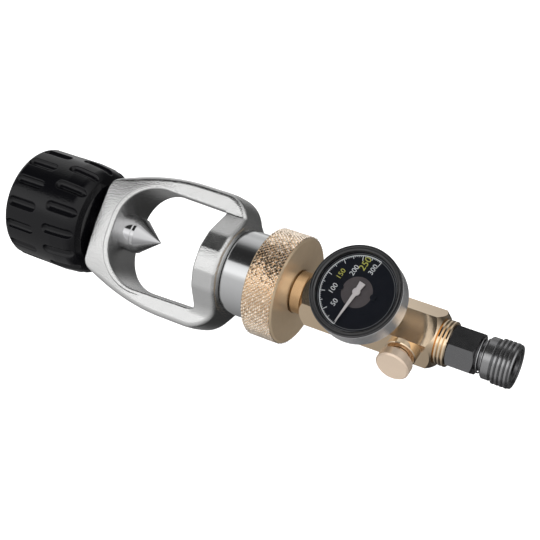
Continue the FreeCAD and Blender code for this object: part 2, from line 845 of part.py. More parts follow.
hub_half = hub_diameter / 2
port_half = port_diameter / 2
gland_half = shank_half + ring_section
gland_left = hub_left + ring_section
corner_half = manifold_flats / math.sqrt(3)
manifold = new_body("manifold_body", turn=-manifold_turn)
hexagon(manifold, manifold_flats, manifold_left, manifold_length)
revolve(manifold, [
    (hub_left, 0),
    (hub_left, hub_half - edge_break),
    (hub_left + edge_break, hub_half),
    (manifold_left + 1, hub_half),
    (manifold_left + 1, 0),
])
end_half = manifold_end_diameter / 2
for end, inward in ((manifold_left, 1), (manifold_right, -1)):
    groove(manifold, [
        (end - inward, end_half),
        (end, end_half),
        (end + inward * manifold_chamfer_length, corner_half),
        (end + inward * manifold_chamfer_length, corner_half + 1),
        (end - inward, corner_half + 1),
    ])
groove(manifold, [
    (hub_left - 1, 0),
    (hub_left - 1, shank_half + fit),
    (gland_left, shank_half + fit),
    (gland_left, gland_half),
    (gland_left + ring_section, gland_half),
    (gland_left + ring_section, shank_half + fit),
    (shank_right + face_gap, shank_half + fit),
    (shank_right + face_gap, nipple_half),
    (manifold_right - outlet_port_depth, nipple_half),
    (manifold_right - outlet_port_depth, port_half),
    (manifold_right + 1, port_half),
    (manifold_right + 1, 0),
])
gauge_port = sketch_in(manifold, "XY_Plane", lift=gauge_port_floor)
draw_circle(gauge_port, gauge_place, 0, port_half)
pocket(manifold, gauge_port)
gauge_passage = sketch_in(manifold, "XY_Plane")
draw_circle(gauge_passage, gauge_place, 0, nipple_half / 2)
pocket(manifold, gauge_passage)
bleed_port_half = bleed_port_diameter / 2
hexagon_step = as_size(60)
bleed_port = sketch_in(manifold, "XY_Plane", lift=bleed_port_floor, turn=hexagon_step)
draw_circle(bleed_port, bleed_axis_place, 0, bleed_port_half)
pocket(manifold, bleed_port)
bleed_passage = sketch_in(manifold, "XY_Plane", lift=nipple_half / 2, turn=hexagon_step)
draw_circle(bleed_passage, bleed_axis_place, 0, nipple_half / 2)
pocket(manifold, bleed_passage)

seal_ring("nipple_oring", gland_left + ring_half, shank_half + ring_half, ring_half - running)

# Gauge: stem, case, lens and dial. Its axis is the local Z of the turned manifold.

gauge_turn = -manifold_turn


def gauge_piece(name, outline):
    """A piece turned round the gauge's axis, from (height, radius) corners."""
    return turned(name, outline, x=gauge_place, turn=gauge_turn, along="Z")


stem_half = port_half - fit
gauge_piece("gauge_washer", ring(flat_height, stem_seat, port_half, stem_washer_diameter / 2))
stem = new_body("gauge_socket", x=gauge_place, turn=gauge_turn)
stem_top = stem_seat + stem_hexagon
neck_radius = stem_neck_diameter / 2
nose_radius = stem_nose_diameter / 2
revolve(stem, [
    (stem_bottom, nipple_half / 2),
    (stem_bottom, stem_half),
    (stem_seat, stem_half),
    (stem_seat, stem_flats / 2),
    (stem_top, stem_flats / 2),
    (stem_top, neck_radius),
    (case_back, neck_radius),
    (case_back, nose_radius),
    (nose_top, nose_radius),
    (nose_top, nipple_half / 2),
], along="Z")
flats_sketch = sketch_in(stem, "XY_Plane", lift=stem_seat)
flat_side = stem_flats / (2 * math.sqrt(3))
draw(flats_sketch, [
    (stem_flats / math.sqrt(3), 0),
    (flat_side, stem_flats / 2),
    (-flat_side, stem_flats / 2),
    (-stem_flats / math.sqrt(3), 0),
    (-flat_side, -stem_flats / 2),
    (flat_side, -stem_flats / 2),
])
draw_circle(flats_sketch, 0, 0, stem_half)
pad(stem, flats_sketch, stem_hexagon)

gauge_half = gauge_diameter / 2
gauge_piece("gauge_case", [
    (case_back, nose_radius + fit),
    (case_back, gauge_half - case_rounding, case_rounding),
    (case_back + case_rounding, gauge_half),
    (gauge_height - edge_break, gauge_half),
    (gauge_height, gauge_half - edge_break),
    (gauge_height, case_inside),
    (case_back + case_wall, case_inside),
    (case_back + case_wall, nose_radius + fit),
])
bezel_inner = case_inside - bezel_width
gauge_piece("gauge_bezel", [
    (bezel_bottom, bezel_inner),
    (bezel_bottom, case_inside - fit),
    (gauge_height - fit, case_inside - fit),
    (gauge_height - fit, case_inside - bezel_width / 2),
    (bezel_bottom + bezel_depth / 3, bezel_inner),
])
gauge_piece("gauge_lens", ring(lens_bottom, bezel_bottom, 0, case_inside - fit))
gauge_piece("lens_gasket", ring(gasket_bottom, lens_bottom,
                                case_inside - gasket_width, case_inside - fit))
dial = gauge_piece("gauge_dial", ring(dial_bottom, dial_top, dial_bore / 2,
                                      case_inside - ring_gap))
dial_screw_half = dial_screw_diameter / 2
screw_holes = sketch_in(dial, "XY_Plane", lift=dial_bottom)
for side in (1, -1):
    draw_circle(screw_holes, dial_screw_place * side, 0, dial_screw_half + fit)
pocket(dial, screw_holes)

dial_screws = new_body("dial_screws", x=gauge_place, turn=gauge_turn)
threads = sketch_in(dial_screws, "XY_Plane", lift=upper_plate)
heads = sketch_in(dial_screws, "XY_Plane", lift=dial_top)

for side in (1, -1):
    draw_circle(threads, dial_screw_place * side, 0, dial_screw_half)
    draw_circle(heads, dial_screw_place * side, 0, dial_screw_head / 2)
pad(dial_screws, threads, plate_thickness + dial_thickness)
pad(dial_screws, heads, dial_screw_head_height)

# Gauge movement: two plates on pillars, spindle with pinion, sector, tube and link

frame_body = new_body("movement_frame", x=gauge_place, turn=gauge_turn)
spindle_half = spindle_diameter / 2
pivot_half = pivot_diameter / 2
pinion_half = pinion_diameter / 2
sector_pivot = -(sector_radius + pinion_half + fit)
plate_half = plate_width / 2
for height, reach in ((lower_plate, tube_radius), (upper_plate, plate_half)):
    plate_sketch = sketch_in(frame_body, "XY_Plane", lift=height)
    draw(plate_sketch, [
        (-dial_screw_place - plate_half / 2, -plate_end),
        (dial_screw_place + plate_half / 2, -plate_end),
        (dial_screw_place + plate_half / 2, reach),
        (-dial_screw_place - plate_half / 2, reach),
    ])
    draw_circle(plate_sketch, 0, 0, spindle_half + running)
    draw_circle(plate_sketch, 0, sector_pivot, pivot_half + running)
    if height is upper_plate:
        for side in (1, -1):
            draw_circle(plate_sketch, dial_screw_place * side, 0, dial_screw_half + fit)
    pad(frame_body, plate_sketch, plate_thickness)
    if height is lower_plate:
        pillars = sketch_in(frame_body, "XY_Plane", lift=lower_plate_top)
        for side in (1, -1):
            draw_circle(pillars, (dial_screw_place + plate_half / 4) * side, plate_half / 2,
                        pillar_diameter / 2)
        pad(frame_body, pillars, plate_gap)

pinion_bottom = lower_plate_top + ring_gap
pointer_bottom = dial_top + pointer_lift
pointer_top = pointer_bottom + pointer_thickness
gauge_piece("pointer_spindle", [
    (lower_plate, 0),
    (lower_plate, spindle_half),
    (pinion_bottom, spindle_half),
    (pinion_bottom, pinion_half),
    (pinion_bottom + pinion_height, pinion_half),
    (pinion_bottom + pinion_height, spindle_half),
    (pointer_bottom, spindle_half),
    (pointer_bottom, 0),
])

sector = new_body("sector_gear", x=gauge_place, turn=gauge_turn)
sector_bottom = pinion_bottom + (pinion_height - sector_thickness) / 2
half_sweep = sector_sweep / 2
sector_plan = sketch_in(sector, "XY_Plane", lift=sector_bottom)
rim_x = sector_radius * sine(half_sweep)
rim_y = sector_pivot + sector_radius * cosine(half_sweep)
tail_half = link_width
draw(sector_plan, [
    (rim_x, rim_y, sector_radius),
    (-rim_x, rim_y),
    (-tail_half, sector_pivot),
    (-tail_half, sector_pivot - tail_half * 3),
    (tail_half, sector_pivot - tail_half * 3),
    (tail_half, sector_pivot),
])
pad(sector, sector_plan, sector_thickness)
arbor = sketch_in(sector, "XY_Plane", lift=lower_plate)
draw_circle(arbor, 0, sector_pivot, pivot_half)
pad(sector, arbor, upper_plate + plate_thickness - fit - lower_plate)

tube = new_body("bourdon_tube", x=gauge_place, turn=gauge_turn)
tube_plan = sketch_in(tube, "XY_Plane", lift=lower_plate_top)
tube_outer = tube_radius + tube_thickness / 2
tube_inner = tube_radius - tube_thickness / 2
half_turn = tube_sweep / 2
first_angle = tube_start
middle_angle = tube_start + half_turn
last_angle = tube_start + tube_sweep


def on_circle(radius, angle):
    return (radius * cosine(angle), radius * sine(angle))


draw(tube_plan, [
    on_circle(tube_outer, first_angle) + (tube_outer,),
    on_circle(tube_outer, middle_angle) + (tube_outer,),
    on_circle(tube_outer, last_angle),
    on_circle(tube_inner, last_angle) + (-tube_inner,),
    on_circle(tube_inner, middle_angle) + (-tube_inner,),
    on_circle(tube_inner, first_angle),
])
pad(tube, tube_plan, tube_height)

link = new_body("bourdon_link", x=gauge_place, turn=gauge_turn)
link_bottom = sector_bottom + sector_thickness + ring_gap
link_plan = sketch_in(link, "XY_Plane", lift=link_bottom)
link_y = sector_pivot - tail_half * 2
tip_x, tip_y = on_circle(tube_inner - fit, last_angle)
link_run = tip_x
link_drop = tip_y - link_y
link_length = root(link_run * link_run + link_drop * link_drop)
side_x = link_drop / link_length * link_width / 2
side_y = link_run / link_length * link_width / 2
draw(link_plan, [
    (side_x, link_y - side_y),
    (tip_x, tip_y),
    (tip_x - side_x * 2, tip_y + side_y * 2),
    (-side_x, link_y + side_y),
])
pad(link, link_plan, plate_thickness)

pointer = new_body("gauge_pointer", x=gauge_place, turn=gauge_turn)
needle = sketch_in(pointer, "XY_Plane", lift=pointer_bottom)
needle_half = pointer_width / 2


def along_needle(distance, sideways):
    """A point of the needle, from its distance along the resting direction."""
    return (distance * cosine(pointer_rest) - sideways * sine(pointer_rest),
            distance * sine(pointer_rest) + sideways * cosine(pointer_rest))


draw(needle, [
    along_needle(pointer_length, -needle_half / 4),
    along_needle(pointer_length, needle_half / 4),
    along_needle(as_size(0), needle_half),
    along_needle(-pointer_tail, needle_half * 1.6),
    along_needle(-pointer_tail, -needle_half * 1.6),
    along_needle(as_size(0), -needle_half),
])
pad(pointer, needle, pointer_thickness)
needle_hub = sketch_in(pointer, "XY_Plane", lift=pointer_bottom)
draw_circle(needle_hub, 0, 0, pointer_hub_diameter / 2)
pad(pointer, needle_hub, pointer_thickness)

# Bleed valve on the next flat, turned a sixth of a turn from the gauge

bleed_turn = hexagon_step - manifold_turn
bonnet_top = flat_height + bonnet_thickness
bleed_stem_half = bleed_stem_diameter / 2
knob_bottom = bleed_height - bleed_knob_thickness
cone_tip = bleed_port_floor - nipple_half / 2 + face_gap
cone_base = cone_tip + bleed_cone_length


def bleed_piece(name, outline):
    """A piece turned round the bleed valve's axis."""
    return turned(name, outline, x=bleed_axis_place, turn=bleed_turn, along="Z")


gland_bottom = bonnet_top - ring_section - edge_break
bleed_piece("bleed_bonnet", [
    (bleed_port_floor + ring_section, bleed_stem_half + running),
    (bleed_port_floor + ring_section, bleed_port_half - fit),
    (flat_height, bleed_port_half - fit),
    (flat_height, bonnet_diameter / 2),
    (bonnet_top - bonnet_chamfer, bonnet_diameter / 2),
    (bonnet_top, bonnet_diameter / 2 - bonnet_chamfer),
    (bonnet_top, bleed_stem_half + running),
    (gland_bottom + ring_section, bleed_stem_half + running),
    (gland_bottom + ring_section, bleed_stem_half + ring_section),
    (gland_bottom, bleed_stem_half + ring_section),
    (gland_bottom, bleed_stem_half + running),
])
seal = new_body("bleed_oring", x=bleed_axis_place, turn=bleed_turn)
seal_sketch = sketch_in(seal, "XZ_Plane")
seal_radius = ring_half - running
draw_circle(seal_sketch, bleed_stem_half + ring_half + fit / 2, gland_bottom + ring_half, seal_radius)
seal_turned = feature(seal, "Revolution", seal_sketch)
seal_turned.ReferenceAxis = (seal_sketch, ["V_Axis"])
seal_turned.Angle = 360
doc.recompute()
bleed_piece("bleed_stem", [
    (cone_tip, 0),
    (cone_base, bleed_cone_length),
    (cone_base, bleed_stem_half),
    (knob_bottom + bleed_stem_grip, bleed_stem_half),
    (knob_bottom + bleed_stem_grip, 0),
])
bleed_knob_half = bleed_knob_diameter / 2
neck_bottom = bonnet_top + ring_gap
neck_half_width = bleed_neck_diameter / 2
bleed_piece("bleed_knob", [
    (neck_bottom, bleed_stem_half + running),
    (neck_bottom, neck_half_width),
    (knob_bottom, neck_half_width),
    (knob_bottom, bleed_knob_half - bleed_knob_chamfer),
    (knob_bottom + bleed_knob_chamfer, bleed_knob_half),
    (bleed_height - bleed_knob_chamfer, bleed_knob_half),
    (bleed_height, bleed_knob_half - bleed_knob_chamfer),
    (bleed_height, 0),
    (knob_bottom + bleed_stem_grip + face_gap, 0),
    (knob_bottom + bleed_stem_grip + face_gap, bleed_stem_half + running),
])

# Outlet: thin washers, coupler body, sliding sleeve, spring, balls, snap ring and seal

washers = new_body("outlet_washers")
washer_half = outlet_washer_diameter / 2
for number in range(int(outlet_washer_count.value)):
    start = manifold_right + outlet_washer_thickness * number
    end = start + outlet_washer_thickness - fit
    revolve(washers, [
        (start, port_half),
        (start, washer_half - outlet_washer_bevel),
        (start + outlet_washer_bevel, washer_half),
        (end - outlet_washer_bevel, washer_half),
        (end, washer_half - outlet_washer_bevel),
        (end, port_half),
    ])

coupler = new_body("coupler_body")
spigot_half = port_half - fit
spigot_left = manifold_right - outlet_port_depth + run_out
barrel_radius = coupler_barrel_diameter / 2
plug_half = plug_bore / 2
mouth_half = mouth_diameter / 2
plug_floor = coupler_end - plug_depth
seal_left = plug_floor + seal_place
snap_left = land_right + face_gap
snap_floor = barrel_radius - snap_groove_depth
hexagon(coupler, coupler_flats, outlet_left, coupler_hexagon, turn=30)
revolve(coupler, ring(spigot_left, outlet_left + 1, 0, spigot_half))
revolve(coupler, ring(coupler_shoulder - 1, coupler_end, 0, barrel_radius))
coupler_corner = coupler_flats / math.sqrt(3)
for end, inward in ((outlet_left, 1), (coupler_shoulder, -1)):
    groove(coupler, [
        (end - inward * face_gap, coupler_flats / 2),
        (end, coupler_flats / 2),
        (end + inward * coupler_bevel, coupler_corner),
        (end + inward * coupler_bevel, coupler_corner + 1),
        (end - inward * face_gap, coupler_corner + 1),
    ])
groove(coupler, [
    (spigot_left - 1, 0),
    (spigot_left - 1, nipple_half),
    (plug_floor, nipple_half),
    (plug_floor, plug_half),
    (seal_left, plug_half),
    (seal_left, plug_half + ring_section),
    (seal_left + ring_section, plug_half + ring_section),
    (seal_left + ring_section, plug_half),
    (coupler_end - mouth_chamfer, plug_half),
    (coupler_end, mouth_half),
    (coupler_end + 1, mouth_half),
    (coupler_end + 1, 0),
])
groove(coupler, ring(snap_left, snap_left + snap_ring_width + face_gap,
                     snap_floor, barrel_radius + 1))
ball_hole = sketch_in(coupler, "XY_Plane", lift=plug_half - 1)
draw_circle(ball_hole, ball_place, 0, ball_diameter / 2 + fit)
around(coupler, pocket(coupler, ball_hole), ball_count)
seal_ring("coupler_seal", seal_left + ring_half, plug_half + ring_half, ring_half - fit)

sleeve_half = sleeve_diameter / 2
collar_half = collar_diameter / 2
land_half = barrel_radius + running
spring_room_half = spring_room_diameter / 2
release_half = release_room_diameter / 2
ridge_step = (sleeve_length - collar_length) / (ridge_count + 0.5)
sleeve_outline = [
    (sleeve_left, spring_room_half),
    (sleeve_left, collar_half - edge_break),
    (sleeve_left + edge_break, collar_half),
    (sleeve_left + collar_length - ridge_step / 2, collar_half),
    (sleeve_left + collar_length, collar_half - ridge_depth),
]
for number in range(int(ridge_count.value)):
    ridge = sleeve_left + collar_length + ridge_step * number
    sleeve_outline += [
        (ridge + ridge_step * 0.3, sleeve_half),
        (ridge + ridge_step * 0.75, sleeve_half),
        (ridge + ridge_step, sleeve_half - ridge_depth),
    ]
sleeve_right = sleeve_left + sleeve_length
sleeve_outline += [
    (sleeve_right - ridge_step * 0.3, sleeve_half - edge_break / 2),
    (sleeve_right, sleeve_half - edge_break),
    (sleeve_right, release_half),
    (land_right, release_half),
    (land_right, land_half),
    (land_left, land_half),
    (land_left, spring_room_half),
]
turned("coupler_sleeve", sleeve_outline)

snap_ring = turned("sleeve_snap_ring", ring(snap_left, snap_left + snap_ring_width,
                                            snap_floor + fit, snap_ring_diameter / 2))
ring_slot = sketch_in(snap_ring, "XY_Plane")
draw(ring_slot, [
    (snap_left - 1, -clip_gap / 2),
    (snap_left + 2, -clip_gap / 2),
    (snap_left + 2, clip_gap / 2),
    (snap_left - 1, clip_gap / 2),
])
pocket(snap_ring, ring_slot)

spring = new_body("sleeve_spring")
wire_half = spring_wire / 2
coil_half = (spring_room_half + barrel_radius) / 2
coil_start = coupler_shoulder + wire_half + face_gap
coil_length = land_left - coupler_shoulder - spring_wire - face_gap * 2
wire_sketch = sketch_in(spring, "XY_Plane")
draw_circle(wire_sketch, coil_start, coil_half, wire_half)
coil = feature(spring, "AdditiveHelix", wire_sketch)
coil.ReferenceAxis = (wire_sketch, ["H_Axis"])
coil.Mode = "height-turns-growth"
coil.Growth = 0
coil.Height = coil_length.value
coil.setExpression("Height", coil_length.text)
coil.Turns = spring_turns.value
coil.setExpression("Turns", spring_turns.text)
doc.recompute()

# Six balls, round the barrel's holes

balls = doc.addObject("Part::Feature", "locking_balls")
balls.Label = "locking_balls"
NODES.append(balls)
ball_solids = []
for number in range(int(ball_count.value)):
    angle = 2 * math.pi * number / ball_count.value
    centre = Vector(ball_place.value, -ball_orbit.value * math.sin(angle),
                    ball_orbit.value * math.cos(angle))
    ball_solids.append(Part.makeSphere(ball_diameter.value / 2, centre))
balls.Shape = Part.makeCompound(ball_solids)

doc.recompute()
faults = [item.Name for item in doc.Objects
          if {"Invalid", "Error"} & set(item.State)]
faults += [body.Name for body in NODES if body.Shape.isNull() or not body.Shape.isValid()]
if faults:
    raise RuntimeError(f"failed objects: {faults}")

os.makedirs("parts", exist_ok=True)
for body in NODES:
    body.Shape.exportStep(f"parts/{body.Label}.step")
print(f"{len(NODES)} sub-parts written")
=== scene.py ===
import bmesh
import bpy
import json
import math
import numpy as np
from mathutils import Matrix, Vector


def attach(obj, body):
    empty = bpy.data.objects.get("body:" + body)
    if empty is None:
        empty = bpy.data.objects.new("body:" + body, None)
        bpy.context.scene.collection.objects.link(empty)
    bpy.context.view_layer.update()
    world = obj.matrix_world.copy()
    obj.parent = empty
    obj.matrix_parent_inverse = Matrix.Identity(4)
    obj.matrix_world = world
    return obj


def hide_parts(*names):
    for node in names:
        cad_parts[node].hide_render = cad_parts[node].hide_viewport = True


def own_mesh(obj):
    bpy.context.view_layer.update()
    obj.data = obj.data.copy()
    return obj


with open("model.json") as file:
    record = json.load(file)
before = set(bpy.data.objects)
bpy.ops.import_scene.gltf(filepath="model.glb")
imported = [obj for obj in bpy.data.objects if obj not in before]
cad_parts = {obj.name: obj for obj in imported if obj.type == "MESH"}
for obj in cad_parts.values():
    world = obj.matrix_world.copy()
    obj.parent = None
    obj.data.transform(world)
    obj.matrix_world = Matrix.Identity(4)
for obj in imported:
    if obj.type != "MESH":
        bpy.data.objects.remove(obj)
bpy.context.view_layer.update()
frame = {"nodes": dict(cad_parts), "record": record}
nodes = frame["nodes"]
MM = 0.001

# Camera: place, turn and lens fitted to edges measured in the photo
CAMERA_PLACE = (0.2453, 0.0050, 0.4786)
CAMERA_RIGHT = (0.8610, 0.3255, -0.3908)
CAMERA_UP = (-0.2964, 0.9455, 0.1345)
camera_data = bpy.data.cameras.new("camera")
camera = bpy.data.objects.new("camera", camera_data)
bpy.context.scene.collection.objects.link(camera)
bpy.context.scene.camera = camera
camera_data.sensor_width = 36
camera_data.lens = 75.1
camera_data.clip_start = 0.01
camera_data.clip_end = 50
right = Vector(CAMERA_RIGHT).normalized()
back = right.cross(Vector(CAMERA_UP)).normalized()
rotation = Matrix((right, back.cross(right), back)).transposed().to_4x4()
camera.matrix_world = Matrix.Translation(CAMERA_PLACE) @ rotation


# Node helpers
def node_tree(name):
    material = bpy.data.materials.new(name)
    material.use_nodes = True
    tree = material.node_tree
    return material, tree, tree.nodes.get("Principled BSDF")


def link(tree, a, b):
    tree.links.new(a, b)


def math_node(tree, operation, *values):
    """Output of a math node whose inputs are numbers or the outputs of other nodes."""
    node = tree.nodes.new("ShaderNodeMath")
    node.operation = operation
    for socket, value in zip(node.inputs, values):
        if isinstance(value, (int, float)):
            socket.default_value = value
        else:
            link(tree, value, socket)
    return node.outputs[0]


def range_node(tree, value, low, high, kind="LINEAR"):
    """Output that goes from 0 to 1 while the value goes from low to high."""
    node = tree.nodes.new("ShaderNodeMapRange")
    node.interpolation_type = kind
    node.inputs["From Min"].default_value = low
    node.inputs["From Max"].default_value = high
    link(tree, value, node.inputs["Value"])
    return node.outputs["Result"]


def mix_node(tree, share, first, second, kind="MIX"):
    """Colour output of two colour outputs; the share is a number or another node's output."""
    node = tree.nodes.new("ShaderNodeMix")
    node.data_type = "RGBA"
    node.blend_type = kind
    if isinstance(share, float):
        node.inputs[0].default_value = share
    else:
        link(tree, share, node.inputs[0])
    link(tree, first, node.inputs[6])
    link(tree, second, node.inputs[7])
    return node.outputs[2]


def ramp_node(tree, share, stops):
    """Grey output with the brightness of each stop at its place between 0 and 1."""
    node = tree.nodes.new("ShaderNodeValToRGB")
    link(tree, share, node.inputs["Fac"])
    elements = node.color_ramp.elements
    while len(elements) > 1:
        elements.remove(elements[0])
    for number, (place, brightness) in enumerate(stops):
        element = elements[0] if number == 0 else elements.new(place)
        element.position = place
        element.color = (brightness, brightness, brightness, 1)
    return node.outputs["Color"]


# Materials
BUMP_DISTANCE = 0.0002


def finish_material(name, colour, metallic=1.0, roughness=0.3, spread=0.05, scale=300.0,
                    bump=0.05, fine=2000.0, tint=0.06, coat=0.0, specular=0.5):
    """A metal or plastic with a slightly uneven finish: colour, roughness and bump all vary.

    The roughness varies by spread and the colour by the share tint, both with a broad noise of
    the given scale. The bump's height varies with a fine noise.
    """
    material, tree, shader = node_tree(name)
    new = tree.nodes.new
    place = new("ShaderNodeTexCoord")
    broad = new("ShaderNodeTexNoise")
    broad.inputs["Scale"].default_value = scale
    broad.inputs["Detail"].default_value = 4
    link(tree, place.outputs["Object"], broad.inputs["Vector"])
    grain = new("ShaderNodeTexNoise")
    grain.inputs["Scale"].default_value = fine
    grain.inputs["Detail"].default_value = 3
    link(tree, place.outputs["Object"], grain.inputs["Vector"])
    rough = new("ShaderNodeMapRange")
    rough.inputs["To Min"].default_value = max(roughness - spread, 0.02)
    rough.inputs["To Max"].default_value = roughness + spread
    link(tree, broad.outputs["Fac"], rough.inputs["Value"])
    link(tree, rough.outputs["Result"], shader.inputs["Roughness"])
    shade = new("ShaderNodeMix")
    shade.data_type = "RGBA"
    dark = [max(c * (1 - tint), 0) for c in colour]
    shade.inputs[6].default_value = (*dark, 1)
    shade.inputs[7].default_value = (*colour, 1)
    link(tree, broad.outputs["Fac"], shade.inputs[0])
    link(tree, shade.outputs[2], shader.inputs["Base Color"])
    relief = new("ShaderNodeBump")
    relief.inputs["Strength"].default_value = bump
    relief.inputs["Distance"].default_value = BUMP_DISTANCE
    link(tree, grain.outputs["Fac"], relief.inputs["Height"])
    link(tree, relief.outputs["Normal"], shader.inputs["Normal"])
    shader.inputs["Metallic"].default_value = metallic
    shader.inputs["Coat Weight"].default_value = coat
    shader.inputs["Specular IOR Level"].default_value = specular
    return material


# Each row: name, colour, metallic, roughness, spread, scale, bump, fine, tint
MATERIALS = {
    "knob_black": finish_material("knob_plastic", (0.003, 0.003, 0.004), 0.0, 0.16, 0.05, 160, 0.25,
                                  900, 0.2, specular=0.30),
    "core_steel": finish_material("core_steel", (0.55, 0.55, 0.56), 1.0, 0.3),
    "screw_steel": finish_material("screw_chrome", (0.62, 0.62, 0.63), 1.0, 0.10, 0.04, 200, 0.05,
                                   900, 0.04),
    "yoke_chrome": finish_material("yoke_satin_chrome", (0.74, 0.74, 0.735), 1.0, 0.24, 0.05, 160,
                                   0.8, 1500, 0.06),
    "socket_chrome": finish_material("socket_chrome", (0.66, 0.665, 0.67), 1.0, 0.12, 0.03, 200,
                                     0.04, 900, 0.04),
    "filter_bronze": finish_material("filter_bronze", (0.42, 0.30, 0.17), 1.0, 0.6, 0.1, 1500, 0.8,
                                     4000, 0.4),
    "clip_steel": finish_material("clip_steel", (0.5, 0.5, 0.5), 1.0, 0.25),
    "wheel_brass": finish_material("wheel_brass", (0.95, 0.82, 0.68), 1.0, 0.12, 0.03, 250, 0.05,
                                   1200, 0.08),
    "wheel_turned": finish_material("wheel_turned_brass", (0.76, 0.59, 0.40), 0.62, 0.24, 0.05, 250,
                                    0.03, 1200, 0.10),
    "polished_brass": finish_material("manifold_brass", (0.94, 0.74, 0.52), 1.0, 0.09, 0.03, 180,
                                      0.05, 900, 0.06),
    "bleed_brass": finish_material("bleed_brass", (0.86, 0.69, 0.54), 0.45, 0.16, 0.03, 180, 0.05,
                                   900, 0.06),
    "plain_brass": finish_material("plain_brass", (0.66, 0.55, 0.40), 1.0, 0.22, 0.05, 300, 0.05,
                                   1200, 0.08),
    "copper_washer": finish_material("copper_washer", (0.62, 0.50, 0.34), 1.0, 0.4, 0.08),
    "black_rubber": finish_material("rubber_ring", (0.015, 0.015, 0.015), 0.0, 0.6, 0.1),
    "case_steel": finish_material("case_satin_steel", (0.72, 0.72, 0.73), 0.8, 0.24, 0.02, 60,
                                  0.02, 900, 0.04),
    "bezel_black": finish_material("bezel_gloss_black", (0.010, 0.010, 0.011), 0.0, 0.12, 0.03,
                                   100, 0.03, 900, 0.1, coat=0.4, specular=0.8),
    "dial_black": finish_material("dial_matt_black", (0.002, 0.003, 0.006), 0.0, 0.6, 0.03, 60,
                                  0.005, 900, 0.1, specular=0.15),
    "pointer_white": finish_material("pointer_white", (0.36, 0.34, 0.34), 0.0, 0.4, 0.05, 200,
                                     0.02, 2000, 0.05, specular=0.2),
    "steel_small": finish_material("small_steel", (0.55, 0.55, 0.56), 1.0, 0.25),
    "coupler_dark": finish_material("coupler_dark_steel", (0.20, 0.20, 0.205), 0.95, 0.22, 0.06,
                                    250, 0.10, 1500, 0.12),
    "sleeve_steel": finish_material("sleeve_steel", (0.35, 0.35, 0.355), 0.95, 0.20, 0.05, 250,
                                    0.08, 1500, 0.10),
}
# The gauge's window: nearly clear, with a mirror's shine
glass, _, glass_shader = node_tree("gauge_glass")
glass_shader.inputs["Base Color"].default_value = (0.9, 0.92, 0.93, 1)
glass_shader.inputs["Metallic"].default_value = 1.0
glass_shader.inputs["Roughness"].default_value = 0.03
glass_shader.inputs["Alpha"].default_value = 0.010
MATERIALS["window"] = glass
DIAL_COLOURS = {
    ink: finish_material(f"dial_colour_{ink}", colour, 0.0, 0.6, 0.05, scale, 0.02, 3000, tint,
                         specular=0.2)
    for ink, colour, scale, tint in (
        ("white", (0.46, 0.48, 0.49), 900, 0.2), ("yellow", (0.34, 0.34, 0.07), 900, 0.2),
        ("ring", (0.11, 0.115, 0.12), 400, 0.25), ("grey", (0.055, 0.048, 0.050), 400, 0.25))
}

# The CAD nodes get their slots' materials, but for two that look otherwise than their slots
SLOTS = {entry["node"]: entry["material_slot"] for entry in frame["record"]["subparts"]}
LOOKS = {"dial_screws": "dial_black", "bleed_knob": "bleed_brass"}
for name, node in nodes.items():
    material = MATERIALS[LOOKS.get(name, SLOTS[name])]
    if not node.data.materials:
        node.data.materials.append(material)
    for index in range(len(node.data.materials)):
        node.data.materials[index] = material


# Mesh helpers, in millimetres
def plain_object(name, mesh):
    made = bpy.data.objects.new(name, mesh)
    bpy.context.scene.collection.objects.link(made)
    return made


def piece(name, verts, faces, material, smooth=True, place=None, sharp=None):
    """A mesh piece, in the row's frame unless a placing matrix is given.

    Edges that bend by more than the sharp angle, in degrees, are kept sharp.
    """
    points = np.asarray(verts, float)
    if place is not None:
        matrix = np.array(place)
        points = points @ matrix[:3, :3].T + matrix[:3, 3]
    mesh = bpy.data.meshes.new(name)
    mesh.from_pydata((points * MM).tolist(), [], faces)
    mesh.validate()
    mesh.polygons.foreach_set("use_smooth", [smooth] * len(mesh.polygons))
    if sharp:
        mesh.set_sharp_from_angle(angle=math.radians(sharp))
    mesh.materials.append(material)
    mesh.update()
    made = plain_object(name, mesh)
    return made


def final_mesh(made):
    """A new mesh of an object as it is shown, with its modifiers or as its curve is filled."""
    bpy.context.view_layer.update()
    shown = made.evaluated_get(bpy.context.evaluated_depsgraph_get())
    return bpy.data.meshes.new_from_object(shown)


def grid_faces(rows, columns, close_rows=False, close_columns=True):
    """Quads of a grid of points: rows follow one another, columns run round."""
    row_count = rows if close_rows else rows - 1
    column_count = columns if close_columns else columns - 1
    i = np.arange(row_count)[:, None]
    j = np.arange(column_count)[None, :]
    a = i * columns + j
    b = i * columns + (j + 1) % columns
    c = ((i + 1) % rows) * columns + (j + 1) % columns
    d = ((i + 1) % rows) * columns + j
    return np.stack([a, b, c, d], -1).reshape(-1, 4).tolist()


def tube_faces(rows, columns):
    """Faces of a closed tube: its grid of points, and a face on each end."""
    last_row = (rows - 1) * columns
    ends = [list(range(columns))[::-1], list(range(last_row, last_row + columns))]
    return grid_faces(rows, columns) + ends


def arc_points(start, end, radius, turn, step):
    """Points of a circular arc from start to end; turn is 1 to the left and -1 to the right."""
    start, end = np.array(start, float), np.array(end, float)
    chord = end - start
    length = np.hypot(*chord)
    left = np.array([-chord[1], chord[0]]) / length * turn
    centre = (start + end) / 2 + left * math.sqrt(max(radius ** 2 - length ** 2 / 4, 0))
    first = math.atan2(*(start - centre)[::-1])
    last = math.atan2(*(end - centre)[::-1])
    sweep = (last - first) * turn % (2 * math.pi)
    count = max(int(sweep * radius / step), 3)
    angles = first + turn * sweep * np.linspace(0, 1, count + 1)
    return np.stack([centre[0] + radius * np.cos(angles), centre[1] + radius * np.sin(angles)], -1)


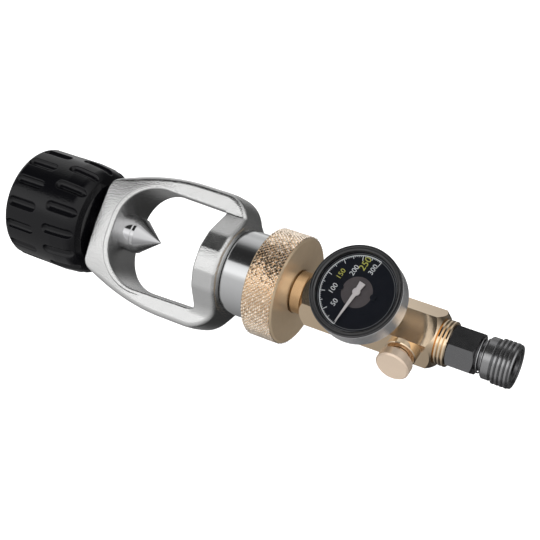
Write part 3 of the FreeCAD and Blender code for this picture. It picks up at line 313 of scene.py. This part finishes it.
# Roundings: corners within STRAIGHT radians of a straight run are left as they are, and no
# rounding takes more than SIDE_SHARE of the shorter side
STRAIGHT, SIDE_SHARE = 0.02, 0.48
SPARE, SPARE_SHARE = 0.06, 0.02
ARC_PARTS, SHORTEST_PART = 5, 0.02


def softened(corners):
    """Closed profile of (x, r, rounding) corners, each corner rounded by its own radius.

    A spare point just outside each end of a rounding keeps the shading of the flat sides even.
    """
    made = []
    count = len(corners)
    for index, (x, r, rounding) in enumerate(corners):
        here = np.array([x, r], float)
        before = np.array(corners[index - 1][:2], float) - here
        after = np.array(corners[(index + 1) % count][:2], float) - here
        lengths = np.hypot(*before), np.hypot(*after)
        before, after = before / lengths[0], after / lengths[1]
        bend = math.acos(max(-1, min(1, float(before @ after))))
        if rounding <= 0 or bend > math.pi - STRAIGHT:
            made.append(here)
            continue
        reach = min(rounding / math.tan(bend / 2), SIDE_SHARE * min(lengths))
        radius = reach * math.tan(bend / 2)
        turn = 1 if before[1] * after[0] - before[0] * after[1] > 0 else -1
        spare = min(SPARE, SPARE_SHARE * min(lengths))
        made.append(here + before * (reach + spare))
        made.extend(arc_points(here + before * reach, here + after * reach, radius, turn,
                               max(radius / ARC_PARTS, SHORTEST_PART)))
        made.append(here + after * (reach + spare))
    return np.array(made)


def lathe_points(profile, segments):
    """Points of a profile of (x, r) turned round the X axis; angle 0 is +Z, going towards +Y."""
    angles = np.arange(segments) * 2 * math.pi / segments
    x = np.repeat(profile[:, :1], segments, 1)
    y = profile[:, 1:2] * np.sin(angles)
    z = profile[:, 1:2] * np.cos(angles)
    return np.stack([x, y, z], -1)


def drill(made, start, end, radius, segments=128):
    """Cuts a round hole along the X axis out of a closed piece for good."""
    hole = lathe_points(np.array([[start, radius], [end, radius]]), segments)
    tool = piece("cutter", hole.reshape(-1, 3), tube_faces(2, segments), made.data.materials[0])
    boolean = made.modifiers.new("cut", "BOOLEAN")
    boolean.operation = "DIFFERENCE"
    boolean.solver = "EXACT"
    boolean.object = tool
    mesh = final_mesh(made)
    made.modifiers.clear()
    made.data = mesh
    bpy.data.objects.remove(tool)


TURNED_SIDES = 360
TURNED_SHARP = 30


def smooth_step(value):
    value = np.clip(value, 0, 1)
    return value * value * (3 - 2 * value)


# Yoke: a height over a plan that reaches from the outer outline to the window, front and back
def outline(parts, step=0.1):
    """Points and outward normals of lines and arcs that follow one another, from left to right.

    A line is given by its two ends, an arc by its centre, radius, first and last angle.
    """
    points, normals = [], []
    for kind, *data in parts:
        if kind == "line":
            first, last = np.array(data[0], float), np.array(data[1], float)
            length = np.hypot(*(last - first))
            share = np.linspace(0, 1, max(int(length / step), 2) + 1)[:, None]
            points.append(first + (last - first) * share)
            along = (last - first) / length
            normals.append(np.repeat([[-along[1], along[0]]], len(share), 0))
        else:
            centre, radius, first, last = data
            count = max(int(abs(last - first) * radius / step), 6)
            angles = np.linspace(first, last, count + 1)
            around = np.stack([np.cos(angles), np.sin(angles)], -1)
            points.append(np.array(centre) + radius * around)
            normals.append(around)
    return np.concatenate(points), np.concatenate(normals)


# Hump of the bridge: a nearly flat crest, a slope on each side, and a steeper foot. The slope is
# given at distances from the middle, and added up to heights.
HUMP_TOP = 25
SLOPE_PLACES = [0, 5.0, 6.2, 12.0, 14.5, 30]
SLOPES = [0.0, 0.12, 0.46, 0.52, 1.05, 1.1]
HUMP_Y = np.linspace(0, 30, 601)
slope = np.interp(HUMP_Y, SLOPE_PLACES, SLOPES)
fallen = np.cumsum((slope[1:] + slope[:-1]) / 2 * np.diff(HUMP_Y))
HUMP_Z = HUMP_TOP - np.concatenate([[0], fallen])
HUMP_FROM = 2.0
# Toward the knob the hump ends in a wall at +Y, and runs out slowly at -Y
WALL_DROP, RUN_DROP, RUN_LENGTH = 60, 14, 18
WALL_BLEND, RUN_BLEND = 0.7, 3.5
# The arms are lowest by the bridge, rise toward the knob, and are crowned across
ARM_LEVEL, ARM_RISE, ARM_HALF = 10, 5.2, 36
RISE_FROM, RISE_LENGTH = 53, 32


def level(x, y):
    """Height of the yoke's front above its middle plane, without the edge roundings."""
    side = np.abs(y)
    rise = 1 - smooth_step((x + RISE_FROM) / RISE_LENGTH)
    arms = ARM_LEVEL + ARM_RISE * rise * (1 - (side / ARM_HALF) ** 2)
    run = 1 - smooth_step((x - HUMP_FROM + RUN_LENGTH) / RUN_LENGTH)
    fall = np.where(y > 0, WALL_DROP * np.clip(HUMP_FROM - x, 0, 1), RUN_DROP * run)
    hump = np.interp(side, HUMP_Y, HUMP_Z) - fall
    blend = np.where(y > 0, WALL_BLEND, RUN_BLEND)
    share = np.clip(0.5 + 0.5 * (hump - arms) / blend, 0, 1)
    return arms * (1 - share) + hump * share + blend * share * (1 - share)


# Half outlines on the middle plane. HEEL is where the rounded heel runs into the long bow.
HEEL = math.atan2(5.39, -2.65)
outer_points, outer_normals = outline([
    ("line", (-62.5, 0), (-62.5, 17.84)),
    ("arc", (-56.5, 17.84), 6, math.pi, HEEL),
    ("arc", (-15, -66.5), 100, HEEL, math.pi / 2),
    ("line", (-15, 33.5), (-1.5, 33.5)),
    ("arc", (-1.5, 17.5), 16, math.pi / 2, 0),
    ("line", (14.5, 17.5), (14.5, 0)),
])
inner_points, inner_normals = outline([
    ("line", (-52, 0), (-52, 5)),
    ("arc", (-32, 5), 20, math.pi, math.pi / 2),
    ("line", (-32, 25), (0, 24.2)),
    ("arc", (0, 22.2), 2, math.pi / 2, 0),
    ("line", (2, 22.2), (2, 0)),
])
HUB = np.array([-25.0, 0.0])


def bearing(points):
    """Angle of each point seen from a place in the window, from 0 at the knob's side."""
    around = points - HUB
    return np.arctan2(around[:, 1], -around[:, 0])


lookup = {}
for key, points, normals in (("outer", outer_points, outer_normals),
                             ("inner", inner_points, inner_normals)):
    angle = bearing(points)
    order = np.argsort(angle, kind="stable")
    lookup[key] = (angle[order], points[order], normals[order])


def at_bearing(key, angles):
    """Points and outward normals of an outline at the given angles."""
    known, points, normals = lookup[key]
    place = np.stack([np.interp(angles, known, points[:, k]) for k in (0, 1)], -1)
    facing = np.stack([np.interp(angles, known, normals[:, k]) for k in (0, 1)], -1)
    return place, facing / np.hypot(facing[:, 0], facing[:, 1])[:, None]


def mirrored(half):
    """The upper half's points or normals, and the lower half's after them."""
    return np.concatenate([half, half[-2:0:-1] * np.array([1.0, -1.0])])


# Columns: at angles that spread them evenly along both outlines
HALF_COUNT = 520
dense = np.linspace(0, math.pi, 6001)
runs = [at_bearing(key, dense)[0] for key in ("outer", "inner")]
pace = sum(np.hypot(*np.diff(run, axis=0).T) for run in runs)
travelled = np.concatenate([[0], np.cumsum(pace)])
angles = np.interp(np.linspace(0, travelled[-1], HALF_COUNT), travelled, dense)
outer, outer_facing = map(mirrored, at_bearing("outer", angles))
inner, inner_facing = map(mirrored, at_bearing("inner", angles))
loop_count = len(outer)

# Rows, as a plan and how far each lies under the level: the outer side with a slight draft, its
# rounded edge that grows from the heel on, the face, and the window's edge
SIDE_ROWS, ROUND_ROWS, FACE_ROWS = 6, 11, 44
DRAFT = 0.25
EDGE_LEAST, EDGE_GROWTH, EDGE_FROM, EDGE_LENGTH = 1.0, 1.6, 60, 10
edge = EDGE_LEAST + EDGE_GROWTH * smooth_step((outer[:, 0] + EDGE_FROM) / EDGE_LENGTH)
rows_xy, rows_drop = [], []
whole = level(outer[:, 0], outer[:, 1])
for share in np.linspace(0, 1, SIDE_ROWS)[:-1]:
    rows_xy.append(outer - outer_facing * DRAFT * share)
    rows_drop.append(whole - (whole - edge) * share)
for turn_by in np.linspace(0, math.pi / 2, ROUND_ROWS):
    rows_xy.append(outer - outer_facing * (DRAFT + edge[:, None] * (1 - math.cos(turn_by))))
    rows_drop.append(edge * (1 - math.sin(turn_by)))
# The window's edge has a ledge by the knob and is plainly rounded by the bridge, both given by
# the distance from the window's outline and the drop
LEDGE_FROM, LEDGE_LENGTH = 42, 18
ledge = 1 - smooth_step((inner[:, 0] + LEDGE_FROM) / LEDGE_LENGTH)
ledge_profile = [(2.35, 0), (2.30, 0.01), (2.22, 0.08), (2.12, 0.30), (2.04, 0.46), (1.94, 0.54),
                 (1.8, 0.575), (1.5, 0.58), (1.2, 0.585), (1.02, 0.60), (0.85, 0.63),
                 (0.6, 0.72), (0.38, 0.88), (0.2, 1.1), (0.07, 1.35), (0.0, 1.6)]
plain_profile = [(2.35, 0), (2.2, 0), (2.05, 0), (1.9, 0), (1.75, 0), (1.6, 0), (1.45, 0),
                 (1.25, 0), (1.05, 0), (0.9, 0), (0.75, 0.02), (0.55, 0.07), (0.35, 0.17),
                 (0.2, 0.30), (0.08, 0.48), (0.0, 0.8)]
inner_rows = []
for (d1, p1), (d2, p2) in zip(ledge_profile, plain_profile):
    across = d1 * ledge + d2 * (1 - ledge)
    inner_rows.append((inner + inner_facing * across[:, None],
                       p1 * ledge + p2 * (1 - ledge)))
start_xy, end_xy = rows_xy[-1], inner_rows[0][0]
for share in np.linspace(0, 1, FACE_ROWS)[1:-1]:
    rows_xy.append(start_xy * (1 - share) + end_xy * share)
    rows_drop.append(np.zeros(loop_count))
for place, drop in inner_rows:
    rows_xy.append(place)
    rows_drop.append(drop)
plan = np.stack(rows_xy)
height = level(plan[..., 0], plan[..., 1]) - np.stack(rows_drop)
height[0] = 0
# The window's wall leans in by WALL_IN down to the middle plane, and the back mirrors the front
WALL_IN, WALL_SHARES = 0.4, (0.06, 0.3, 0.65, 1.0)
front = np.concatenate([plan, height[..., None]], -1)
middle = np.concatenate([inner - inner_facing * WALL_IN, np.zeros((loop_count, 1))], -1)
lower_wall = [front[-1] * (1 - share) + middle * share for share in WALL_SHARES]
front = np.concatenate([front, np.stack(lower_wall)])
back_side = front[-2:0:-1] * np.array([1, 1, -1])
yoke_points = np.concatenate([front, back_side])
yoke = piece("yoke_skin", yoke_points.reshape(-1, 3),
             grid_faces(len(yoke_points), loop_count, close_rows=True),
             MATERIALS["yoke_chrome"])
yoke.data.flip_normals()
SCREW_HOLE, SOCKET_HOLE = 9.08, 10.05
drill(yoke, -64, -50, SCREW_HOLE)
drill(yoke, 1, 16, SOCKET_HOLE)
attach(yoke, "clamp_frame")
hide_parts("yoke")

# Knob grip: a turned body with two rows of lengthwise scoops
KNOB_LEFT = -108.5
GRIP_STEP, GRIP_SIDES = ((0.22, 720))
grip_corners = [
    (0, 14.05, 0.3), (0, 24.2, 0), (3.4, 27.95, 0), (9, 28, 6), (30, 28, 6), (37.5, 27.2, 0),
    (42.5, 24.5, 0.6), (44, 21.5, 0.8), (44, 11, 0.4), (8, 11, 0), (8, 9, 0), (7, 9, 0), (7, 11, 0),
    (3.1, 11, 0), (3.1, 14.05, 0),
]


def bulge(profile, first, last, radius):
    """Replaces the straight run between two profile corners with an arc that bulges outward."""
    near = [int(np.argmin(np.hypot(*(profile - np.array(p)).T))) for p in (first, last)]
    curve = arc_points(profile[near[0]], profile[near[1]], radius, -1, 0.2)
    return np.concatenate([profile[:near[0]], curve, profile[near[1] + 1:]])


def refined(profile, step):
    """Adds points to the runs of a closed profile that are longer than the step."""
    made = []
    for index, here in enumerate(profile):
        made.append(here)
        there = profile[(index + 1) % len(profile)]
        count = int(np.hypot(*(there - here)) / step)
        for part in range(1, count):
            made.append(here + (there - here) * part / count)
    return np.array(made)


grip_profile = softened(grip_corners)
grip_profile = bulge(grip_profile, (0, 24.2), (3.4, 27.95), 4.4)
grip_profile = bulge(grip_profile, (37.5, 27.2), (42.5, 24.5), 10)
grip_profile = refined(grip_profile, GRIP_STEP)
grip_profile[:, 0] += KNOB_LEFT
grip_points = lathe_points(grip_profile, GRIP_SIDES)
reach = np.hypot(grip_points[..., 1], grip_points[..., 2])
bearing_deg = np.degrees(np.arctan2(grip_points[..., 1], grip_points[..., 2]))
# A scoop is a groove with a round floor and round ends, as wide as it is at WIDTH_RADIUS. Each
# row: first and last x, and the degrees that it is turned by. Points nearer to the axis than
# SCOOPED_FROM stay.
SCOOP_HALF, SCOOP_DEPTH, SCOOP_PITCH = 2.5, 1.9, 24
SCOOP_ROWS = ((-83.5, -66.5, 0), (-106.0, -89.0, -8))
WIDTH_RADIUS, SCOOPED_FROM = 27.6, 21
scoop_round = (SCOOP_HALF ** 2 + SCOOP_DEPTH ** 2) / (2 * SCOOP_DEPTH)
lowest = reach.copy()
for first, last, offset in SCOOP_ROWS:
    aside = (bearing_deg - offset + SCOOP_PITCH / 2) % SCOOP_PITCH - SCOOP_PITCH / 2
    sideways = np.radians(aside) * WIDTH_RADIUS
    along = np.maximum(np.maximum(first + SCOOP_HALF - grip_points[..., 0],
                                  grip_points[..., 0] - last + SCOOP_HALF), 0)
    away = np.hypot(sideways, along)
    floor_reach = reach - (np.sqrt(np.maximum(scoop_round ** 2 - away ** 2, 0))
                           - (scoop_round - SCOOP_DEPTH))
    inside = (away < SCOOP_HALF) & (reach > SCOOPED_FROM)
    lowest = np.where(inside, np.minimum(lowest, floor_reach), lowest)
share = np.where(reach > 0, lowest / reach, 1)
grip_points[..., 1] *= share
grip_points[..., 2] *= share
grip = piece("knob_skin", grip_points.reshape(-1, 3),
             grid_faces(len(grip_points), GRIP_SIDES, close_rows=True),
             MATERIALS["knob_black"])
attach(grip, "knob")
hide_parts("knob_grip")

# Handwheel: turned body, and a knurl of small blunt pyramids round its rim
wheel_corners = [
    (18, 9.17, 0), (18, 10.87, 0.2), (18.5, 11.37, 0.2), (29.2, 11.37, 0), (29.2, 24.8, 0.2),
    (30.0, 25.5, 0.1), (30.1, 25.05, 0), (44.3, 25.05, 0), (44.4, 25.5, 0.1), (45.2, 24.6, 0.25),
    (45.2, 10.3, 0.2), (44.35, 10.3, 0), (44.35, 6.08, 0), (20.8, 6.08, 0), (20.8, 9.17, 0),
]
wheel_points = lathe_points(softened(wheel_corners), TURNED_SIDES)
wheel = piece("wheel_skin", wheel_points.reshape(-1, 3),
              grid_faces(len(wheel_points), TURNED_SIDES, close_rows=True),
              MATERIALS["wheel_turned"], sharp=TURNED_SHARP)
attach(wheel, "handwheel")
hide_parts("din_handwheel")

KNURL_ROUND, KNURL_ACROSS = 84, 7
KNURL_LEFT, KNURL_RIGHT = 30.0, 44.4
LOW_REACH, HIGH_REACH = 25.1, 25.98
# Tops: their size as a share of the foot, and how far they may lean aside or tilt
TOP_SHARE, LEAN, TILT = 0.34, 0.16, 0.07
DIAMOND = ((-1, 0), (0, -1), (1, 0), (0, 1))
half_step = (KNURL_RIGHT - KNURL_LEFT) / KNURL_ACROSS / 2
step_angle = 2 * math.pi / KNURL_ROUND
scatter = np.random.default_rng(7)


def rim_point(x, angle, radius):
    """A point of the rim, kept between the knurl's two ends."""
    x = max(min(x, KNURL_RIGHT), KNURL_LEFT)
    return (x, radius * math.sin(angle), radius * math.cos(angle))


knurl_points, knurl_faces = [], []
for row in range(KNURL_ACROSS * 2 + 1):
    middle = KNURL_LEFT + row * half_step
    for number in range(KNURL_ROUND):
        angle = (number + 0.5 * (row % 2)) * step_angle
        first = len(knurl_points)
        lean = scatter.uniform(-LEAN, LEAN, 2)
        tilt = scatter.uniform(-TILT, TILT, 4)
        knurl_points.extend(
            rim_point(middle + dx * half_step, angle + da * step_angle / 2, LOW_REACH)
            for dx, da in DIAMOND)
        knurl_points.extend(
            rim_point(middle + (dx * TOP_SHARE + lean[0]) * half_step,
                      angle + (da * TOP_SHARE + lean[1]) * step_angle / 2, HIGH_REACH - TILT + tip)
            for (dx, da), tip in zip(DIAMOND, tilt))
        for side in range(4):
            after = (side + 1) % 4
            knurl_faces.append((first + side, first + after, first + 4 + after, first + 4 + side))
        knurl_faces.append(tuple(first + 4 + side for side in range(4)))
knurl = piece("wheel_knurl", knurl_points, knurl_faces, MATERIALS["wheel_brass"],
              smooth=False)
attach(knurl, "handwheel")

# Dial: printed scale and plain numbers, and a plain disc a little lighter than the dial round its
# middle, on the gauge's own slanted plane. Angles are in degrees, INK is the print's height, and
# LIFT keeps one print off another.
GAUGE_X, GAUGE_LEAN = 87, -11
GAUGE = Matrix.Translation((GAUGE_X, 0, 0)) @ Matrix.Rotation(math.radians(GAUGE_LEAN), 4, "X")
DIAL_UP = 166.3
ZERO = 256.0
SWEEP = 184.0
INK = 41.53
LIFT = 0.01


def on_dial(radius, degrees):
    return (radius * math.cos(math.radians(degrees)), radius * math.sin(math.radians(degrees)))


def band(name, inner_radius, outer_radius, first, last, height, material):
    """A flat arc between two radii and two angles."""
    count = max(int(abs(last - first) / 2), 2)
    spots = np.linspace(first, last, count + 1)
    verts = [(*on_dial(radius, spot), height) for radius in (inner_radius, outer_radius)
             for spot in spots]
    faces = grid_faces(2, count + 1, close_columns=False)
    made = piece(name, verts, faces, material, place=GAUGE)
    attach(made, "manifold")


band("dial_arc", 15.85, 16.25, ZERO, ZERO - SWEEP, INK, DIAL_COLOURS["white"])
band("dial_arc_far", 15.9, 16.15, ZERO - SWEEP, ZERO - 360, INK, DIAL_COLOURS["ring"])
# Ticks: every tenth is the longest, and every fifth is thick
TICKS, TICK_OUT = 60, 15.9
TENTH_IN, FIFTH_IN, TICK_IN = 13.8, 14.8, 15.4
THICK_HALF, THIN_HALF = 0.16, 0.09
verts, faces = [], []
for number in range(TICKS + 1):
    degrees = ZERO - SWEEP * number / TICKS
    tick_in = TENTH_IN if number % 10 == 0 else FIFTH_IN if number % 5 == 0 else TICK_IN
    half_width = THICK_HALF if number % 5 == 0 else THIN_HALF
    spot, side = np.array(on_dial(1, degrees)), np.array(on_dial(half_width, degrees + 90))
    first = len(verts)
    verts.extend((*(spot * radius + side * way), INK + LIFT)
                 for radius, way in ((tick_in, -1), (tick_in, 1), (TICK_OUT, 1), (TICK_OUT, -1)))
    faces.append((first, first + 1, first + 2, first + 3))
ticks = piece("dial_ticks", verts, faces, DIAL_COLOURS["white"], place=GAUGE)
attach(ticks, "manifold")


def number_piece(words, x, y, size, ink):
    """Flat figures with their middle at x, y on the dial, upright for the dial's own top."""
    curve = bpy.data.curves.new("figures", "FONT")
    curve.body = words
    curve.size = size
    curve.align_x = "CENTER"
    curve.align_y = "CENTER"
    made = plain_object("figures", curve)
    mesh = final_mesh(made)
    bpy.data.objects.remove(made)
    turn = math.radians(DIAL_UP - 90)
    points = np.array([vertex.co for vertex in mesh.vertices])
    flat = np.stack([x + points[:, 0] * math.cos(turn) - points[:, 1] * math.sin(turn),
                     y + points[:, 0] * math.sin(turn) + points[:, 1] * math.cos(turn),
                     np.full(len(points), INK + LIFT)], -1)
    faces = [list(face.vertices) for face in mesh.polygons]
    shown = piece(f"dial_number_{words}", flat, faces, DIAL_COLOURS[ink], place=GAUGE)
    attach(shown, "manifold")


NUMBERS = (("50", -7.4, -7.0, 3.2, "white"), ("100", -10.3, -1.6, 3.2, "white"),
           ("150", -9.6, 5.3, 3.2, "yellow"), ("200", -4.7, 8.5, 3.2, "white"),
           ("250", -1.3, 12.6, 4.2, "yellow"), ("300", 2.8, 11.2, 3.2, "white"))
for words, x, y, size, ink in NUMBERS:
    number_piece(words, x, y, size, ink)
# A plain disc round the hub, a little lighter than the rest of the dial
DISC_RADIUS, DISC_SIDES = 6.8, 120
disc = [(*on_dial(DISC_RADIUS, 360 / DISC_SIDES * k), INK) for k in range(DISC_SIDES)]
centre_disc = piece("dial_centre", disc, [list(range(DISC_SIDES))], DIAL_COLOURS["grey"],
                    place=GAUGE)
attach(centre_disc, "manifold")
band("dial_inner_ring", 16.7, 16.95, 0, 360, INK + 2 * LIFT, DIAL_COLOURS["ring"])

# Gauge case: satin cup, and a black rim with two ridges, turned round the gauge's axis
case_corners = [
    (31.2, 4.1, 0), (31.2, 20, 2), (43.1, 20, 0.2), (43.1, 18.95, 0), (32.3, 18.95, 0),
    (32.3, 4.1, 0),
]
rim_corners = [
    (43.15, 18.9, 0), (43.15, 19.95, 0.25), (44.38, 19.95, 0.6), (44.38, 19.05, 0.2),
    (44.05, 18.75, 0.2), (44.35, 18.4, 0.25), (44.35, 18.0, 0.3), (43.65, 17.15, 0.15),
    (43.65, 18.9, 0),
]
for name, corners, replaced, slot in (("case_skin", case_corners, "gauge_case", "case_steel"),
                                      ("rim_skin", rim_corners, "gauge_bezel", "bezel_black")):
    turned = lathe_points(softened(corners), TURNED_SIDES)
    made = piece(name, turned[..., [1, 2, 0]].reshape(-1, 3),
                 grid_faces(len(turned), TURNED_SIDES, close_rows=True),
                 MATERIALS[slot], place=GAUGE, sharp=TURNED_SHARP)
    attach(made, "manifold")
    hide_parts(replaced)

# Coupler spring: a round wire on a helix, built at one length, though the real one shortens as
# the sleeve is drawn back
SPRING_START, SPRING_LENGTH, SPRING_TURNS = 134.65, 7.8, 4
SPRING_HALF, WIRE_HALF, WIRE_SIDES = 7.7, 0.35, 16
TURN_PARTS = 64
wound = np.linspace(0, 2 * math.pi * SPRING_TURNS, SPRING_TURNS * TURN_PARTS + 1)
climb = SPRING_LENGTH / (2 * math.pi * SPRING_TURNS)
no_x = np.zeros_like(wound)
outward = np.stack([no_x, np.cos(wound), np.sin(wound)], -1)
forward = np.stack([no_x + climb, -SPRING_HALF * np.sin(wound), SPRING_HALF * np.cos(wound)], -1)
forward /= math.hypot(climb, SPRING_HALF)
sideward = np.cross(forward, outward)
middle_line = outward * SPRING_HALF
middle_line[:, 0] = SPRING_START + climb * wound
round_wire = (np.arange(WIRE_SIDES) * 2 * math.pi / WIRE_SIDES)[None, :, None]
wire_points = (middle_line[:, None] + WIRE_HALF * np.cos(round_wire) * outward[:, None]
               + WIRE_HALF * np.sin(round_wire) * sideward[:, None])
spring = piece("spring_coil", wire_points.reshape(-1, 3), tube_faces(len(wound), WIRE_SIDES),
               MATERIALS["steel_small"], sharp=40)
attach(spring, "manifold")
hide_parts("sleeve_spring")
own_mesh(spring)

# World: a plain white one, weaker as a light than as it is seen or mirrored
WORLD_LEVEL = 0.55
world = bpy.data.worlds.new("studio")
bpy.context.scene.world = world
world.use_nodes = True
tree = world.node_tree
background = tree.nodes["Background"]
background.inputs["Color"].default_value = (1, 1, 1, 1)
rays = tree.nodes.new("ShaderNodeLightPath").outputs
seen = math_node(tree, "MAXIMUM", rays["Is Camera Ray"], rays["Is Glossy Ray"])
seen = math_node(tree, "MAXIMUM", seen, rays["Is Transmission Ray"])
strength = math_node(tree, "MULTIPLY_ADD", seen, 1 - WORLD_LEVEL, WORLD_LEVEL)
link(tree, strength, background.inputs["Strength"])

# Floor: pale paper under the row, lifted a little toward white where the camera sees it
FLOOR_HALF, FLOOR_LEVEL, FLOOR_LIFT = 20.0, -0.13, 0.40
floor_mesh = bpy.data.meshes.new("floor")
floor_mesh.from_pydata([(x * FLOOR_HALF, y * FLOOR_HALF, 0)
                        for x, y in ((-1, -1), (1, -1), (1, 1), (-1, 1))], [], [(0, 1, 2, 3)])
floor = plain_object("floor", floor_mesh)
floor.location.z = FLOOR_LEVEL
floor_material, tree, shader = node_tree("floor_paper")
shader.inputs["Base Color"].default_value = (0.93, 0.93, 0.93, 1)
shader.inputs["Roughness"].default_value = 0.9
shader.inputs["Specular IOR Level"].default_value = 0.0
shader.inputs["Emission Color"].default_value = (1, 1, 1, 1)
rays = tree.nodes.new("ShaderNodeLightPath").outputs
seen = math_node(tree, "MAXIMUM", rays["Is Camera Ray"], rays["Is Transmission Ray"])
link(tree, math_node(tree, "MULTIPLY", seen, FLOOR_LIFT), shader.inputs["Emission Strength"])
floor_mesh.materials.append(floor_material)
floor.visible_glossy = False

# Dome: only mirrored, a studio of soft panels round the row that gives the metals their bands
DOME_RADIUS = 3.0
dome_mesh = bpy.data.meshes.new("studio_dome")
dome_build = bmesh.new()
bmesh.ops.create_uvsphere(dome_build, u_segments=96, v_segments=48, radius=DOME_RADIUS)
dome_build.to_mesh(dome_mesh)
dome_build.free()
for face in dome_mesh.polygons:
    face.use_smooth = True
dome = plain_object("studio_dome", dome_mesh)
dome.visible_camera = False
dome.visible_diffuse = False
dome.visible_shadow = False
dome.visible_transmission = False
dome.visible_volume_scatter = False
# Degrees from the zenith towards +Y, and brightness: near_stops toward the knob's end of the row,
# far_stops toward the coupler's
near_stops = [(-180, 0.08), (-165, 0.20), (-138, 0.28), (-114, 0.37), (-90, 0.48), (-66, 0.58),
              (-42, 0.68), (-27, 0.72), (-18, 0.92), (-10, 1.35), (0, 1.30), (10, 1.15), (16, 0.95),
              (18, 0.35), (19.5, 0.06), (28, 0.04), (45, 0.03), (58, 0.04), (68, 0.12), (76, 0.38),
              (86, 0.62), (102, 0.76), (115, 0.66), (128, 0.72), (140, 0.98), (148, 0.52),
              (160, 0.38), (172, 0.30), (180, 0.10)]
far_stops = [(-180, 0.42), (-165, 0.24), (-120, 0.30), (-70, 0.34), (-40, 0.55), (-15, 0.98),
             (48, 1.12), (62, 0.78), (90, 0.45), (115, 0.52), (140, 0.72), (165, 0.85),
             (180, 0.55)]
# Share of the sphere's radius along X, and brightness, above and below the horizon
high_side_stops = [(-1, 0.5), (-0.87, 0.8), (-0.6, 1), (0.0, 1), (1, 1)]
low_side_stops = [(-1, 1.0), (-0.38, 1.0), (-0.05, 0.16), (0.38, 0.16), (0.75, 0.12), (1, 0.12)]
# Where the far panels take over along X, and the high ones along Z, in metres
FAR_FROM, FAR_WHOLE = -0.1, 0.9
HIGH_FROM, HIGH_WHOLE = -0.9, 0.3


def as_shares(stops, lowest, highest):
    """The stops with their places as shares of the way from lowest to highest."""
    return [((place - lowest) / (highest - lowest), brightness) for place, brightness in stops]


dome_material, tree, _ = node_tree("studio_dome")
tree.nodes.clear()
output = tree.nodes.new("ShaderNodeOutputMaterial")
emission = tree.nodes.new("ShaderNodeEmission")
coords = tree.nodes.new("ShaderNodeTexCoord")
split = tree.nodes.new("ShaderNodeSeparateXYZ")
link(tree, coords.outputs["Object"], split.inputs["Vector"])
x, y, z = (split.outputs[axis] for axis in "XYZ")
turned = range_node(tree, math_node(tree, "ARCTAN2", y, z), -math.pi, math.pi)
sideways = range_node(tree, x, -DOME_RADIUS, DOME_RADIUS)
panels = mix_node(tree, range_node(tree, x, FAR_FROM, FAR_WHOLE, "SMOOTHSTEP"),
                  ramp_node(tree, turned, as_shares(near_stops, -180, 180)),
                  ramp_node(tree, turned, as_shares(far_stops, -180, 180)))
sides = mix_node(tree, range_node(tree, z, HIGH_FROM, HIGH_WHOLE),
                 ramp_node(tree, sideways, as_shares(low_side_stops, -1, 1)),
                 ramp_node(tree, sideways, as_shares(high_side_stops, -1, 1)))
link(tree, mix_node(tree, 1.0, panels, sides, "MULTIPLY"), emission.inputs["Color"])
link(tree, emission.outputs["Emission"], output.inputs["Surface"])
dome_mesh.materials.append(dome_material)


# Lights: two soft panels that shade the pieces, not mirrored in them
def area_light(name, place, size, energy):
    """A square light that points at the middle of the row."""
    data = bpy.data.lights.new(name, "AREA")
    data.shape = "RECTANGLE"
    data.size = data.size_y = size
    data.energy = energy
    made = bpy.data.objects.new(name, data)
    bpy.context.scene.collection.objects.link(made)
    made.location = place
    made.rotation_mode = "QUATERNION"
    made.rotation_quaternion = (-Vector(place)).to_track_quat("-Z", "Y")
    made.visible_glossy = False


area_light("key", (-0.5, 0.35, 1.2), 1.0, 12)
area_light("fill", (0.6, -0.9, 0.7), 1.0, 8)

scene = bpy.context.scene
scene.view_settings.view_transform = "Standard"
